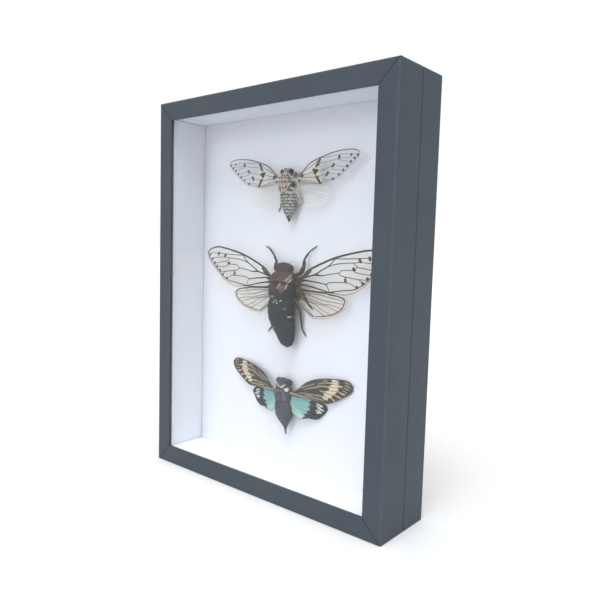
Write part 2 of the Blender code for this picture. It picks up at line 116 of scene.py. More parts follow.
@dataclass(frozen=True)
class Marking:
    """A stroke, spot or area of one channel, as points (x, y) in millimetres.

    A stroke reaches this far to both sides of its line, and an area fills its outline.
    """

    channel: Channel
    points: Points
    reach: float = 0.0
    soft: float = 0.4
    area: bool = False
    cut: bool = False
    strength: float = 1.0

    def mask(self, x: np.ndarray, y: np.ndarray) -> np.ndarray:
        """How much the marking covers each point: 1 inside, 0 outside, an even ramp between.

        Args:
            x: Places across the insect.
            y: Places up the board.

        Returns:
            A share from 0 to 1 for each place.
        """
        outline = self.points + self.points[:1] if self.area else self.points
        away = distance_to_line(x, y, outline)
        if self.area:
            away = np.where(inside_area(x, y, self.points), -away, away)
        share = np.clip(0.5 - (away - self.reach) / self.soft, 0.0, 1.0)
        return self.strength * share * share * (3 - 2 * share)


@dataclass(frozen=True)
class Ridge:
    """A ridge along a line on an insect's back, or a furrow where its height is below zero."""

    points: Points
    reach: float
    soft: float
    height: float

    def rise(self, x: np.ndarray, y: np.ndarray) -> np.ndarray:
        """How far the back rises: the whole height within reach of the line, and less beyond it
        along a smooth step.

        Args:
            x: Places across the insect.
            y: Places up the board.

        Returns:
            The rise of each place, in millimetres.
        """
        share = np.clip(0.5 - (distance_to_line(x, y, self.points) - self.reach) / self.soft, 0.0, 1.0)
        return self.height * share * share * (3 - 2 * share)


@dataclass(frozen=True)
class Vein:
    """A raised vein through points (x, y), with its radius and its paleness at both ends."""

    points: Points
    thick: float
    thin: float
    fade: tuple[float, float] = (0.0, 0.0)


def distance_to_line(x: np.ndarray, y: np.ndarray, points: Points) -> np.ndarray:
    """Distance to a run of straight pieces: each place is projected on a piece, held between its
    ends, and the nearest piece counts.

    Args:
        x: Places across.
        y: Places up.
        points: The ends of the pieces.

    Returns:
        The distance of each place.
    """
    line = np.asarray(points, float)
    if len(line) == 1:
        return np.hypot(x - line[0, 0], y - line[0, 1])
    run = np.diff(line, axis=0)
    from_x = x[..., None] - line[:-1, 0]
    from_y = y[..., None] - line[:-1, 1]
    length = np.maximum((run ** 2).sum(axis=1), 1e-9)
    share = np.clip((from_x * run[:, 0] + from_y * run[:, 1]) / length, 0.0, 1.0)
    return np.hypot(from_x - share * run[:, 0], from_y - share * run[:, 1]).min(axis=-1)


def inside_area(x: np.ndarray, y: np.ndarray, points: Points) -> np.ndarray:
    """Whether a place is inside an outline: a line from it to the right crosses the outline an odd
    number of times.

    Args:
        x: Places across.
        y: Places up.
        points: The corners of the outline.

    Returns:
        True for each place inside.
    """
    corner = np.asarray(points, float)
    after = np.roll(corner, -1, axis=0)
    rise = after[:, 1] - corner[:, 1]
    rise = np.where(np.abs(rise) < 1e-9, 1e-9, rise)
    level = y[..., None]
    spans = (corner[:, 1] > level) != (after[:, 1] > level)
    meets = corner[:, 0] + (after[:, 0] - corner[:, 0]) * (level - corner[:, 1]) / rise
    return (spans & (x[..., None] < meets)).sum(axis=-1) % 2 == 1


def smooth_line(points: Points, count: int) -> np.ndarray:
    """Even steps along a smooth curve through the points. Each span is the cubic whose slope at an
    end is half the step between that point's neighbours.

    Args:
        points: The points to go through, with any number of coordinates.
        count: How many points the result has.

    Returns:
        An array of points, spaced evenly along the curve.
    """
    knots = np.asarray(points, float)
    padded = np.vstack((2 * knots[0] - knots[1], knots, 2 * knots[-1] - knots[-2]))
    spans = len(knots) - 1
    place = np.linspace(0, spans, 40 * spans + 1)
    index = np.minimum(place.astype(int), spans - 1)
    t = (place - index)[:, None]
    a, b, c, d = (padded[index + step] for step in range(4))
    square = 2 * a - 5 * b + 4 * c - d
    cube = 3 * b - a - 3 * c + d
    curve = 0.5 * (2 * b + (c - a) * t + square * t ** 2 + cube * t ** 3)
    steps = np.linalg.norm(np.diff(curve[:, :2], axis=0), axis=1)
    run = np.concatenate(([0.0], np.cumsum(steps)))
    even = np.linspace(0, run[-1], count)
    return np.column_stack([np.interp(even, run, curve[:, k]) for k in range(curve.shape[1])])


def ripple(x: np.ndarray, y: np.ndarray, step: float) -> np.ndarray:
    """An uneven wave: three crossed sine waves with wavelengths near the step, added up.

    Args:
        x: Places across.
        y: Places up.
        step: The wavelength, in the same unit.

    Returns:
        A value from about -1 to 1 at each place.
    """
    turn = 2 * pi / step
    wave = np.sin(turn * (x + 0.31 * y)) + np.sin(turn * (0.83 * y - 0.42 * x) + 1.3)
    return (wave + np.sin(turn * 1.37 * (x - y) + 4.1)) / 3


class Shape:
    """A mesh in the making: grids of points in an insect's own frame, with masks at each point."""

    def __init__(self) -> None:
        """Start with nothing."""
        self.points: list[np.ndarray] = []
        self.faces: list[np.ndarray] = []
        self.masks: dict[str, list[np.ndarray]] = {}
        self.count = 0

    def add_grid(self, grid: np.ndarray, closed: bool, masks: dict[str, np.ndarray]) -> None:
        """Add a sheet or a tube of four-sided faces. A face joins the points (i, j), (i, j + 1),
        (i + 1, j + 1) and (i + 1, j), and in a tube the last column joins the first.

        Args:
            grid: Points as rows, columns and three coordinates.
            closed: Whether the columns go round a tube.
            masks: A value for each point, by name.
        """
        rows, columns, _ = grid.shape
        faces_across = columns if closed else columns - 1
        i, j = np.meshgrid(np.arange(rows - 1), np.arange(faces_across), indexing="ij")
        beside = (j + 1) % columns
        corners = (i * columns + j, i * columns + beside, (i + 1) * columns + beside, (i + 1) * columns + j)
        self.faces.append(np.stack(corners, axis=-1).reshape(-1, 4) + self.count)
        self.points.append(grid.reshape(-1, 3))
        for name, values in masks.items():
            self.masks.setdefault(name, []).append(np.broadcast_to(values, (rows, columns)).reshape(-1))
        self.count += rows * columns

    def finish(
        self, name: str, place: "Place", material: bpy.types.Material, solid: bool
    ) -> bpy.types.Object:
        """Make the object: points carried to the case's frame, doubles merged, masks kept as
        attributes, and on a closed shape the faces turned outwards.

        Args:
            name: The piece's name.
            place: Where the insect sits.
            material: The piece's material.
            solid: Whether the shape is closed all round.

        Returns:
            The new object, at the origin.
        """
        mesh = bpy.data.meshes.new(name)
        points = place.to_case(np.concatenate(self.points))
        mesh.from_pydata(points.tolist(), [], np.concatenate(self.faces).tolist())
        for mask, values in self.masks.items():
            layer = mesh.attributes.new(mask, "FLOAT", "POINT")
            layer.data.foreach_set("value", np.concatenate(values).astype(np.float32))
        welded = bmesh.new()
        welded.from_mesh(mesh)
        bmesh.ops.remove_doubles(welded, verts=welded.verts, dist=WELD)
        if solid:
            bmesh.ops.recalc_face_normals(welded, faces=welded.faces)
        welded.to_mesh(mesh)
        welded.free()
        mesh.shade_smooth()
        mesh.materials.append(material)
        obj = bpy.data.objects.new(name, mesh)
        bpy.context.scene.collection.objects.link(obj)
        return obj


@dataclass(frozen=True)
class Place:
    """Where an insect sits: its middle across, the level of its head and the board's face."""

    across: float
    head: float
    board: float

    def to_case(self, points: np.ndarray) -> np.ndarray:
        """From (x, y, h) in millimetres to metres in the case's frame: X is x past the middle, Y is
        the board's face less h, and Z is y above the level of the head.

        Args:
            points: Points in the insect's frame.

        Returns:
            The same points in the case's frame.
        """
        x, y, h = points.T
        return np.column_stack(((x + self.across) * MM, self.board - h * MM, (y + self.head) * MM))


def tube_grid(path: np.ndarray, radii: np.ndarray, sides: int, flat: float = 1.0) -> np.ndarray:
    """A tube along a path, as rows of rings. Each ring is the path's point, plus the radius times
    the cosine of the turn sideways and its sine upwards, and the ends close to a point.

    Args:
        path: Points (x, y, h) along the middle.
        radii: The radius at each of them.
        sides: How many corners a ring has.
        flat: The ring's height as a share of its width.

    Returns:
        A grid of points whose columns go round the tube.
    """
    path = np.vstack((path[:1], path, path[-1:]))
    radii = np.concatenate(([0.0], radii, [0.0]))[:, None, None]
    run = np.gradient(path, axis=0)
    run /= np.maximum(np.linalg.norm(run, axis=1, keepdims=True), 1e-9)
    sideways = np.cross(run, (0.0, 0.0, 1.0))
    sideways /= np.maximum(np.linalg.norm(sideways, axis=1, keepdims=True), 1e-9)
    upwards = np.cross(sideways, run)
    turn = np.linspace(0, 2 * pi, sides, endpoint=False)[None, :, None]
    ring = np.cos(turn) * sideways[:, None] + np.sin(turn) * upwards[:, None] * flat
    return path[:, None] + radii * ring


def ball_grid(middle: Triple, radii: Triple, steps: int) -> np.ndarray:
    """A ball, longer or shorter along each axis: middle plus radius times (cosine of the turn times
    sine of the tilt, sine times sine, cosine of the tilt).

    Args:
        middle: Its middle.
        radii: Its three radii.
        steps: How many faces it has from pole to pole.

    Returns:
        A grid of points whose columns go round the ball.
    """
    tilt = np.linspace(0, pi, steps + 1)[:, None]
    turn = np.linspace(0, 2 * pi, 2 * steps, endpoint=False)[None, :]
    wide = np.sin(tilt)
    unit = np.stack(np.broadcast_arrays(np.cos(turn) * wide, np.sin(turn) * wide, np.cos(tilt)), -1)
    return np.asarray(middle) + unit * np.asarray(radii)


def masks_of(markings: tuple[Marking, ...], x: np.ndarray, y: np.ndarray) -> dict[str, np.ndarray]:
    """The value of each channel: markings are laid on in order, each as the larger of the two
    values, or, where it cuts, as the value times what the marking leaves.

    Args:
        markings: The markings, in order.
        x: Places across the insect.
        y: Places up the board.

    Returns:
        A value for each place, by channel.
    """
    values = {channel.value: np.zeros_like(x) for channel in Channel}
    for marking in markings:
        mask = marking.mask(x, y)
        name = marking.channel.value
        values[name] = values[name] * (1 - mask) if marking.cut else np.maximum(values[name], mask)
    return values


@dataclass(frozen=True)
class Wing:
    """A wing as a sheet between its front edge and its rear edge, both from the root to the tip.

    It lies at a height above the board, sinks from the root to the tip, and is arched a little
    across. A hindwing is also pleated like a fan. Lines are given for the right wing, and mirrored
    for the left one. The rim is the radius along the front and the rear edge, then their paleness.
    """

    name: str
    front: Points
    rear: Points
    root: float
    height: float
    droop: float
    arch: float
    pleats: float
    rim: tuple[float, float, float, float]
    veins: tuple[Vein, ...]
    markings: tuple[Marking, ...]
    rows: int = 220
    columns: int = 72

    def edges(self) -> tuple[np.ndarray, np.ndarray]:
        """The front and the rear edge as smooth curves."""
        return smooth_line(self.front, self.rows), smooth_line(self.rear, self.rows)

    def height_at(self, x: np.ndarray, y: np.ndarray) -> np.ndarray:
        """The sheet's height: the root's, less the droop times the share of the way out, plus the
        arch times 4 v (1 - v), where v is the share of the way from the front to the rear edge,
        plus the pleats, a cosine of the angle seen from the root.

        Args:
            x: Distances from the insect's middle.
            y: Places up the board.

        Returns:
            The height of each place above the board.
        """
        front, rear = self.edges()
        out = np.clip((x - self.root) / (front[-1, 0] - self.root), 0.0, 1.0)
        top = np.interp(x, front[:, 0], front[:, 1])
        low = np.interp(x, rear[:, 0], rear[:, 1])
        v = np.clip((top - y) / np.maximum(top - low, 1.0), 0.0, 1.0)
        angle = np.arctan2(y - self.front[0][1] - 1.0, x - self.front[0][0] + 4.0)
        fan = self.pleats * np.cos(34 * angle) * np.clip(out * 3, 0.0, 1.0)
        arch = self.arch * 4 * v * (1 - v) * (1 - 0.6 * out)
        return self.height - self.droop * out + arch + fan + 0.05 * ripple(x, y, 6.5)

    def placed(self, x: np.ndarray, y: np.ndarray, lift: float, side: Side, turn: float) -> np.ndarray:
        """Points on the sheet, carried to their side of the insect. A right wing is turned about
        its root, which raises a point by the sine of the turn times its distance from the root.

        Args:
            x: Distances from the insect's middle.
            y: Places up the board.
            lift: How far above the sheet the points lie.
            side: The side of the insect.
            turn: The right wing's turn, in degrees.

        Returns:
            Points (x, y, h) in the insect's frame.
        """
        raised = sin(radians(turn)) * (x - self.root) if side is Side.RIGHT else 0.0
        return np.stack((side.value * x, y + raised, self.height_at(x, y) + lift), axis=-1)

    def membrane(self, side: Side, turn: float) -> Shape:
        """The clear sheet: point (u, v) lies on the straight line from the front edge to the rear
        edge at u, a share v of the way.

        Args:
            side: The side of the insect.
            turn: The right wing's turn, in degrees.

        Returns:
            The sheet as a shape, without thickness.
        """
        front, rear = self.edges()
        v = np.linspace(0, 1, self.columns)[None, :, None]
        flat = front[:, None] * (1 - v) + rear[:, None] * v
        x, y = flat[..., 0], flat[..., 1]
        shape = Shape()
        grid = self.placed(x, y, 0.0, side, turn)
        if side is Side.RIGHT:
            grid, x, y = grid[:, ::-1], x[:, ::-1], y[:, ::-1]
        shape.add_grid(grid, False, masks_of(self.markings, x, y))
        return shape

    def add_veins(self, shape: Shape, side: Side, turn: float) -> None:
        """Add the raised veins, and the thicker ones that run along both edges.

        Args:
            shape: What the veins are added to.
            side: The side of the insect.
            turn: The right wing's turn, in degrees.
        """
        rim, hem, rim_pale, hem_pale = self.rim
        edges = (
            Vein(self.front, rim, rim * 0.62, (rim_pale, rim_pale + 0.1)),
            Vein(self.rear, hem, hem * 0.8, (hem_pale, hem_pale)),
        )
        for vein in edges + self.veins:
            count = 16 + 7 * len(vein.points)
            line = smooth_line(vein.points, count)
            path = self.placed(line[:, 0], line[:, 1], VEIN_LIFT, side, turn)
            share = np.linspace(0, 1, count)
            radii = vein.thick + (vein.thin - vein.thick) * share ** 0.7
            fade = vein.fade[0] + (vein.fade[1] - vein.fade[0]) * share
            fade = np.concatenate((fade[:1], fade, fade[-1:]))[:, None]
            shape.add_grid(tube_grid(path, radii, VEIN_SIDES, VEIN_FLATNESS), True, {"fade": fade})


# Head and thorax: the share of their length from the front of the head, then the half width and
# the half height there as shares of the thorax's own. The neck's step is at 0.23 and the collar's
# at 0.51.
THORAX_SECTIONS = (
    (0.000, 0.26, 0.20), (0.020, 0.40, 0.28), (0.060, 0.52, 0.36), (0.110, 0.61, 0.43), (0.170, 0.66, 0.48),
    (0.205, 0.66, 0.50), (0.222, 0.58, 0.48), (0.236, 0.58, 0.51), (0.250, 0.68, 0.61), (0.300, 0.79, 0.75),
    (0.380, 0.88, 0.87), (0.440, 0.94, 0.94), (0.480, 1.00, 0.99), (0.500, 1.02, 0.99), (0.512, 0.97, 0.95),
    (0.520, 0.87, 0.86), (0.540, 0.89, 0.93), (0.600, 0.94, 1.05), (0.680, 0.96, 1.11), (0.760, 0.94, 1.09),
    (0.820, 0.90, 1.01), (0.860, 0.86, 0.93), (0.900, 0.83, 0.86), (0.940, 0.84, 0.84),
)


@dataclass(frozen=True)
class Body:
    """Head, thorax and abdomen as one shell that runs down the board through oval rings."""

    start: float
    length: float
    thorax: float
    half_width: float
    half_height: float
    middle: float
    abdomen: float
    spine: Points
    taper: Points
    relief: tuple[Ridge, ...]
    markings: tuple[Marking, ...]
    bands: float
    segments: int = 7
    rows: int = 330
    columns: int = 120

    def down(self, share: float) -> float:
        """How far down from the front of the head a share of head and thorax lies."""
        return self.start + share * (self.thorax - self.start)

    def widths(self, down: np.ndarray) -> tuple[np.ndarray, np.ndarray]:
        """Half width and half height of the rings. Head and thorax run through the sections. The
        abdomen's width is its widest times the taper at t, with t from its front to the tail, and
        each segment swells towards its rear edge and is drawn in at the joint. Both are then
        averaged over a few rings, and the front of the head and the tail are rounded off.

        Args:
            down: Distances from the front of the head.

        Returns:
            The half width and the half height at each distance.
        """
        t = np.clip((down - self.thorax) / (self.length - self.thorax), 0.0, 1.0)
        phase = (t * self.segments) % 1.0
        joint = np.exp(-(np.minimum(phase, 1 - phase) / 0.07) ** 2)
        swell = 1 + 0.03 * (phase - 0.5) - 0.04 * joint * (t > 0.02)
        narrowing = np.array(self.taper)
        belly = self.abdomen * np.interp(t, narrowing[:, 0], narrowing[:, 1]) * swell
        shares = np.array(THORAX_SECTIONS)
        at = self.down(shares[:, 0])
        wide = np.interp(down, at, shares[:, 1]) * self.half_width
        high = np.interp(down, at, shares[:, 2]) * self.half_height
        blend = np.clip((down - self.down(0.93)) / (0.12 * self.thorax), 0.0, 1.0)
        blend = blend * blend * (3 - 2 * blend)
        flatness = 0.96 * self.half_height / self.half_width
        wide = wide + (belly - wide) * blend
        high = high + (belly * flatness - high) * blend
        kernel = np.hanning(7) / np.hanning(7).sum()
        wide, high = (np.convolve(np.pad(value, 3, "edge"), kernel, "valid") for value in (wide, high))
        nose = np.clip((down - self.start) / (0.05 * self.thorax), 0.0, 1.0)
        tail = np.clip((self.length - down) / 0.5, 0.0, 1.0)
        ends = np.sqrt(1 - (1 - nose) ** 2) * np.sqrt(1 - (1 - tail) ** 2)
        return wide * ends, high * ends

    def surface(self, down: np.ndarray, turn: np.ndarray) -> tuple[np.ndarray, ...]:
        """The shell: at each distance an oval of superellipse form, whose middle follows the spine
        from side to side, with the relief's ridges and furrows added on the back.

        Args:
            down: Distances from the front of the head, as a column.
            turn: Angles round the body, as a row, with a quarter turn on top of the back.

        Returns:
            The places x, y and h, and the spine's place across.
        """
        wide, high = self.widths(down[:, 0])
        wide, high = wide[:, None], high[:, None]
        t = np.clip((down - self.thorax) / (self.length - self.thorax), 0.0, 1.0)
        spine = smooth_line(self.spine, 60)
        across = np.interp(down, spine[:, 0], spine[:, 1])
        bend = 0.93
        c, s = np.cos(turn), np.sin(turn)
        x = across + wide * np.sign(c) * np.abs(c) ** bend
        lift = high * np.sign(s) * np.abs(s) ** bend
        y = np.broadcast_to(-down, x.shape)
        back = np.clip(s, 0.0, 1.0)
        for ridge in self.relief:
            lift = lift + back * ridge.rise(x - across, y)
        lift = lift + 0.05 * back * ripple(x, y, 1.7) * np.clip(high / 2, 0, 1)
        return x, y, self.middle - 0.15 * t * self.half_height + lift, across

    def shell(self) -> Shape:
        """The whole body as a closed tube, with its masks. Bands run round the abdomen as a wavy
        function of the distance within each segment.

        Returns:
            The body as a closed shape.
        """
        share = np.linspace(0, 1, self.rows)
        down = (self.start + share * (self.length - self.start))[:, None]
        turn = np.linspace(0, 2 * pi, self.columns, endpoint=False)[None, :]
        x, y, h, across = self.surface(down, turn)
        masks = masks_of(self.markings, x - across, y)
        t = (down - self.thorax) / (self.length - self.thorax)
        wave = 0.15 * ripple(x, y, 4.4) + 0.12 * ripple(x, y, 1.6)
        band = np.cos(2 * pi * (t * self.segments + wave)) * 0.5 + 0.5
        band = np.clip((band - 0.5) * 3.6, 0, 1) * (t > -0.05)
        masks["mark"] = np.maximum(masks["mark"], self.bands * band)
        shape = Shape()
        shape.add_grid(np.stack((x, y, h), axis=-1), True, masks)
        return shape


@dataclass(frozen=True)
class Head:
    """The eyes at both ends of the head, three small eyes between them, and the feelers."""

    eye: float
    reach: float
    across: float
    down: float
    middle: float
    top: float

    def eyes(self) -> Shape:
        """The two large eyes, and the three small ones in a triangle between them.

        Returns:
            All five as one shape.
        """
        shape = Shape()
        for side in Side:
            middle = (self.across + side.value * (self.reach - self.eye), -self.down, self.middle)
            ball = ball_grid(middle, (self.eye, self.eye * 1.06, self.eye * 0.95), EYE_STEPS)
            shape.add_grid(ball, True, {"fade": 0.0})
        small = self.eye * 0.16
        for x, y in ((0.0, 0.35), (-0.42, -0.28), (0.42, -0.28)):
            middle = (self.across + x * self.eye, -self.down + y * self.eye, self.top)
            shape.add_grid(ball_grid(middle, (small, small, small), SMALL_EYE_STEPS), True, {"fade": 1.0})
        return shape

    def add_feelers(self, shape: Shape) -> None:
        """Add the two feelers: a short thick root and a bristle that curves forward and out.

        Args:
            shape: What the feelers are added to.
        """
        for side in Side:
            x = side.value * self.reach * 0.5
            y = -self.down + self.eye * 0.8
            h = self.middle + 0.1 * self.eye
            line = smooth_line((
                (self.across + x, y, h),
                (self.across + x * 1.08, y + self.eye * 0.45, h - 0.2),
                (self.across + x * 1.3, y + self.eye * 1.0, h - 0.8),
                (self.across + x * 1.62, y + self.eye * 1.25, h - 1.6),
            ), FEELER_STEPS)
            radii = self.eye * (0.028 + 0.1 * np.exp(-np.linspace(0, 7, FEELER_STEPS)))
            shape.add_grid(tube_grid(line, radii, FEELER_SIDES), True, {"fade": 0.0})


@dataclass(frozen=True)
class Leg:
    """A leg or the tube at the tail: a tapering tube through points (x, y, h, radius), with rows of
    spines along its lower part and two claws at its foot."""

    points: Points
    spines: int = 0
    claws: bool = True
    swell: float = 0.22

    def add(self, shape: Shape) -> None:
        """Add the limb. It runs straight from joint to joint, with the corners rounded by an
        average over a few steps. Its radius follows the points, and swells along each part between
        joints as the square of a sine.

        Args:
            shape: What the limb is added to.
        """
        joints = np.asarray(self.points, float)
        count = LEG_STEPS * (len(joints) - 1) + 1
        part = np.linspace(0, len(joints) - 1, count)
        order = np.arange(len(joints))
        straight = np.column_stack([np.interp(part, order, joints[:, k]) for k in range(4)])
        kernel = np.hanning(9) / np.hanning(9).sum()
        ends = np.pad(straight, ((4, 4), (0, 0)), "reflect", reflect_type="odd")
        line = np.column_stack([np.convolve(ends[:, k], kernel, "valid") for k in range(4)])
        radii = line[:, 3] * (0.86 + self.swell * np.sin(pi * part) ** 2)
        shape.add_grid(tube_grid(line[:, :3], radii, LEG_SIDES), True, {"fade": 0.0})
        run = np.gradient(line[:, :2], axis=0)
        run /= np.maximum(np.linalg.norm(run, axis=1, keepdims=True), 1e-9)
        for spine in range(self.spines):
            at = int(count * (0.56 + 0.3 * spine / max(self.spines - 1, 1)))
            out = (-1 if spine % 2 else 1) * np.array((run[at, 1], -run[at, 0]))
            self.add_thorn(shape, line[at, :3], out * 0.9 + run[at] * 0.5, *SPINE)
        if self.claws:
            for sign in (-1, 1):
                out = run[-1] * 0.7 + sign * np.array((run[-1, 1], -run[-1, 0])) * 0.6
                self.add_thorn(shape, line[-1, :3], out, *CLAW)

    def add_thorn(
        self, shape: Shape, foot: np.ndarray, out: np.ndarray, length: float, radius: float
    ) -> None:
        """Add a thorn: a cone that bends down towards its point.

        Args:
            shape: What the thorn is added to.
            foot: Where it starts.
            out: Its direction across the board.
            length: How long it is.
            radius: How thick it is at the foot.
        """
        share = np.linspace(0, 1, 6)[:, None]
        flat = foot[:2] + out * share * length
        path = np.hstack((flat, foot[2] - 0.35 * length * share ** 2))
        shape.add_grid(tube_grid(path, radius * (1 - 0.85 * share[:, 0]), 6), True, {"fade": 0.0})


class Nodes:
    """A node tree and short ways to fill it."""

    def __init__(self, tree: bpy.types.NodeTree) -> None:
        """Keep the tree."""
        self.tree = tree

    def add(self, kind: str, inputs: dict | None = None, **settings: object) -> bpy.types.Node:
        """Add a node, set it, and fill or link its inputs.

        Args:
            kind: The node's type.
            inputs: A value or an output socket for each input, by name or number.
            settings: Its other settings.

        Returns:
            The node.
        """
        node = self.tree.nodes.new(kind)
        for name, value in settings.items():
            setattr(node, name, value)
        for key, value in (inputs or {}).items():
            if isinstance(value, bpy.types.NodeSocket):
                self.tree.links.new(value, node.inputs[key])
            else:
                node.inputs[key].default_value = value
        return node

    def math(self, operation: str, *values: object) -> bpy.types.NodeSocket:
        """A math node on these values, and its output."""
        return self.add("ShaderNodeMath", dict(enumerate(values)), operation=operation).outputs[0]

    def vector_math(self, operation: str, *values: object) -> bpy.types.NodeSocket:
        """A vector math node on these values, and its output."""
        return self.add("ShaderNodeVectorMath", dict(enumerate(values)), operation=operation).outputs[0]

    def link(self, value: bpy.types.NodeSocket, node: bpy.types.Node, name: str) -> None:
        """Lead a value into an input of a node."""
        self.tree.links.new(value, node.inputs[name])

    def put_out(self, share: bpy.types.NodeSocket, made: bpy.types.Node) -> None:
        """Put a share, held between 0 and 1, out of a group."""
        self.tree.links.new(self.add("ShaderNodeClamp", {0: share}).outputs[0], made.inputs[0])

    def ramp(self, share: bpy.types.NodeSocket, to: tuple[float, float]) -> bpy.types.NodeSocket:
        """A share from 0 to 1 carried to another range, and held at both ends."""
        inputs = {0: share, 1: 0.0, 2: 1.0, 3: to[0], 4: to[1]}
        return self.add("ShaderNodeMapRange", inputs).outputs[0]

    def blend(self, share: object, first: object, second: object) -> bpy.types.NodeSocket:
        """A colour between two, by a share.

        Args:
            share: 0 for the first colour and 1 for the second, or a socket that says so.
            first: The first colour, or a socket.
            second: The second colour, or a socket.

        Returns:
            The mixed colour.
        """
        first = (*first, 1) if isinstance(first, tuple) else first
        second = (*second, 1) if isinstance(second, tuple) else second
        mix = self.add("ShaderNodeMix", {0: share, 6: first, 7: second}, data_type="RGBA")
        return mix.outputs[2]

    def between(self, share: object, first: object, second: object) -> bpy.types.NodeSocket:
        """A number between two, by a share."""
        return self.add("ShaderNodeMix", {0: share, 2: first, 3: second}, data_type="FLOAT").outputs[0]

    def mask(self, name: str) -> bpy.types.NodeSocket:
        """The value of one of the piece's own masks."""
        return self.add("ShaderNodeAttribute", attribute_name=name).outputs["Fac"]

    def place(self) -> bpy.types.NodeSocket:
        """The place on the object, in metres."""
        return self.add("ShaderNodeTexCoord").outputs["Object"]


def new_group(
    name: str, inputs: dict[str, float | tuple], outputs: tuple[str, ...]
) -> tuple[Nodes, bpy.types.Node, bpy.types.Node]:
    """Start a shader node group.

    Args:
        name: The group's name.
        inputs: The default of each input, a number or a vector.
        outputs: The names of the outputs, all numbers.

    Returns:
        The group's nodes, its input node and its output node.
    """
    tree = bpy.data.node_groups.new(name, "ShaderNodeTree")
    for socket, default in inputs.items():
        kind = "NodeSocketVector" if isinstance(default, tuple) else "NodeSocketFloat"
        made = tree.interface.new_socket(socket, in_out="INPUT", socket_type=kind)
        made.default_value = default
    for socket in outputs:
        tree.interface.new_socket(socket, in_out="OUTPUT", socket_type="NodeSocketFloat")
    nodes = Nodes(tree)
    return nodes, tree.nodes.new("NodeGroupInput"), tree.nodes.new("NodeGroupOutput")


class Effects:
    """The node groups that several materials share."""

    def __init__(self) -> None:
        """Build the groups."""
        self.grain = self.build_grain()
        self.mottle = self.build_mottle()
        self.rubbed = self.build_rubbed()

    def build_grain(self) -> bpy.types.NodeTree:
        """Fine grain: noise on a place stretched by a vector, for brush marks, fibres and paper.

        Returns:
            The group.
        """
        nodes, given, made = new_group(
            "fine_grain", {"Place": (0.0, 0.0, 0.0), "Stretch": (1.0, 1.0, 1.0), "Contrast": 1.0},
            ("Value",)
        )
        scaled = nodes.vector_math("MULTIPLY", given.outputs["Place"], given.outputs["Stretch"])
        noise = nodes.add(
            "ShaderNodeTexNoise", {"Vector": scaled, "Scale": 1.0, "Detail": 5.0, "Roughness": 0.6}
        )
        away = nodes.math("SUBTRACT", noise.outputs[0], 0.5)
        away = nodes.math("MULTIPLY", away, given.outputs["Contrast"])
        nodes.put_out(nodes.math("ADD", away, 0.5), made)
        return nodes.tree

    def build_mottle(self) -> bpy.types.NodeTree:
        """Mottle: soft patches of one size, sharpened by a contrast.

        Returns:
            The group.
        """
        nodes, given, made = new_group(
            "mottle", {"Place": (0.0, 0.0, 0.0), "Scale": 100.0, "Threshold": 0.5, "Soft": 0.2}, ("Value",)
        )
        inputs = {"Vector": given.outputs["Place"], "Scale": given.outputs["Scale"], "Detail": 3.0}
        noise = nodes.add("ShaderNodeTexNoise", inputs)
        away = nodes.math("SUBTRACT", noise.outputs[0], given.outputs["Threshold"])
        share = nodes.math("ADD", nodes.math("DIVIDE", away, given.outputs["Soft"]), 0.5)
        nodes.put_out(share, made)
        return nodes.tree

    def build_rubbed(self) -> bpy.types.NodeTree:
        """Rubbed edges of a box: of the distances to the three pairs of outer faces, the second
        smallest is near nothing only along an edge.

        Returns:
            The group.
        """
        nodes, given, made = new_group(
            "rubbed_edges",
            {
                "Place": (0.0, 0.0, 0.0),
                "Middle": CASE_MIDDLE,
                "Half Size": CASE_HALF,
                "Width": 0.0012,
            },
            ("Value",),
        )
        moved = nodes.vector_math("SUBTRACT", given.outputs["Place"], given.outputs["Middle"])
        size = nodes.vector_math("ABSOLUTE", moved)
        left = nodes.vector_math("SUBTRACT", given.outputs["Half Size"], size)
        x, y, z = nodes.add("ShaderNodeSeparateXYZ", {0: left}).outputs
        low = nodes.math("MINIMUM", x, nodes.math("MINIMUM", y, z))
        high = nodes.math("MAXIMUM", x, nodes.math("MAXIMUM", y, z))
        total = nodes.math("ADD", x, nodes.math("ADD", y, z))
        second = nodes.math("SUBTRACT", nodes.math("SUBTRACT", total, low), high)
        inputs = {"Vector": given.outputs["Place"], "Scale": 320.0, "Detail": 4.0}
        noise = nodes.add("ShaderNodeTexNoise", inputs)
        wander = nodes.math("MULTIPLY", noise.outputs[0], 2.0)
        reach = nodes.math("MULTIPLY", given.outputs["Width"], wander)
        share = nodes.math("SUBTRACT", 1.0, nodes.math("DIVIDE", second, reach))
        nodes.put_out(share, made)
        return nodes.tree


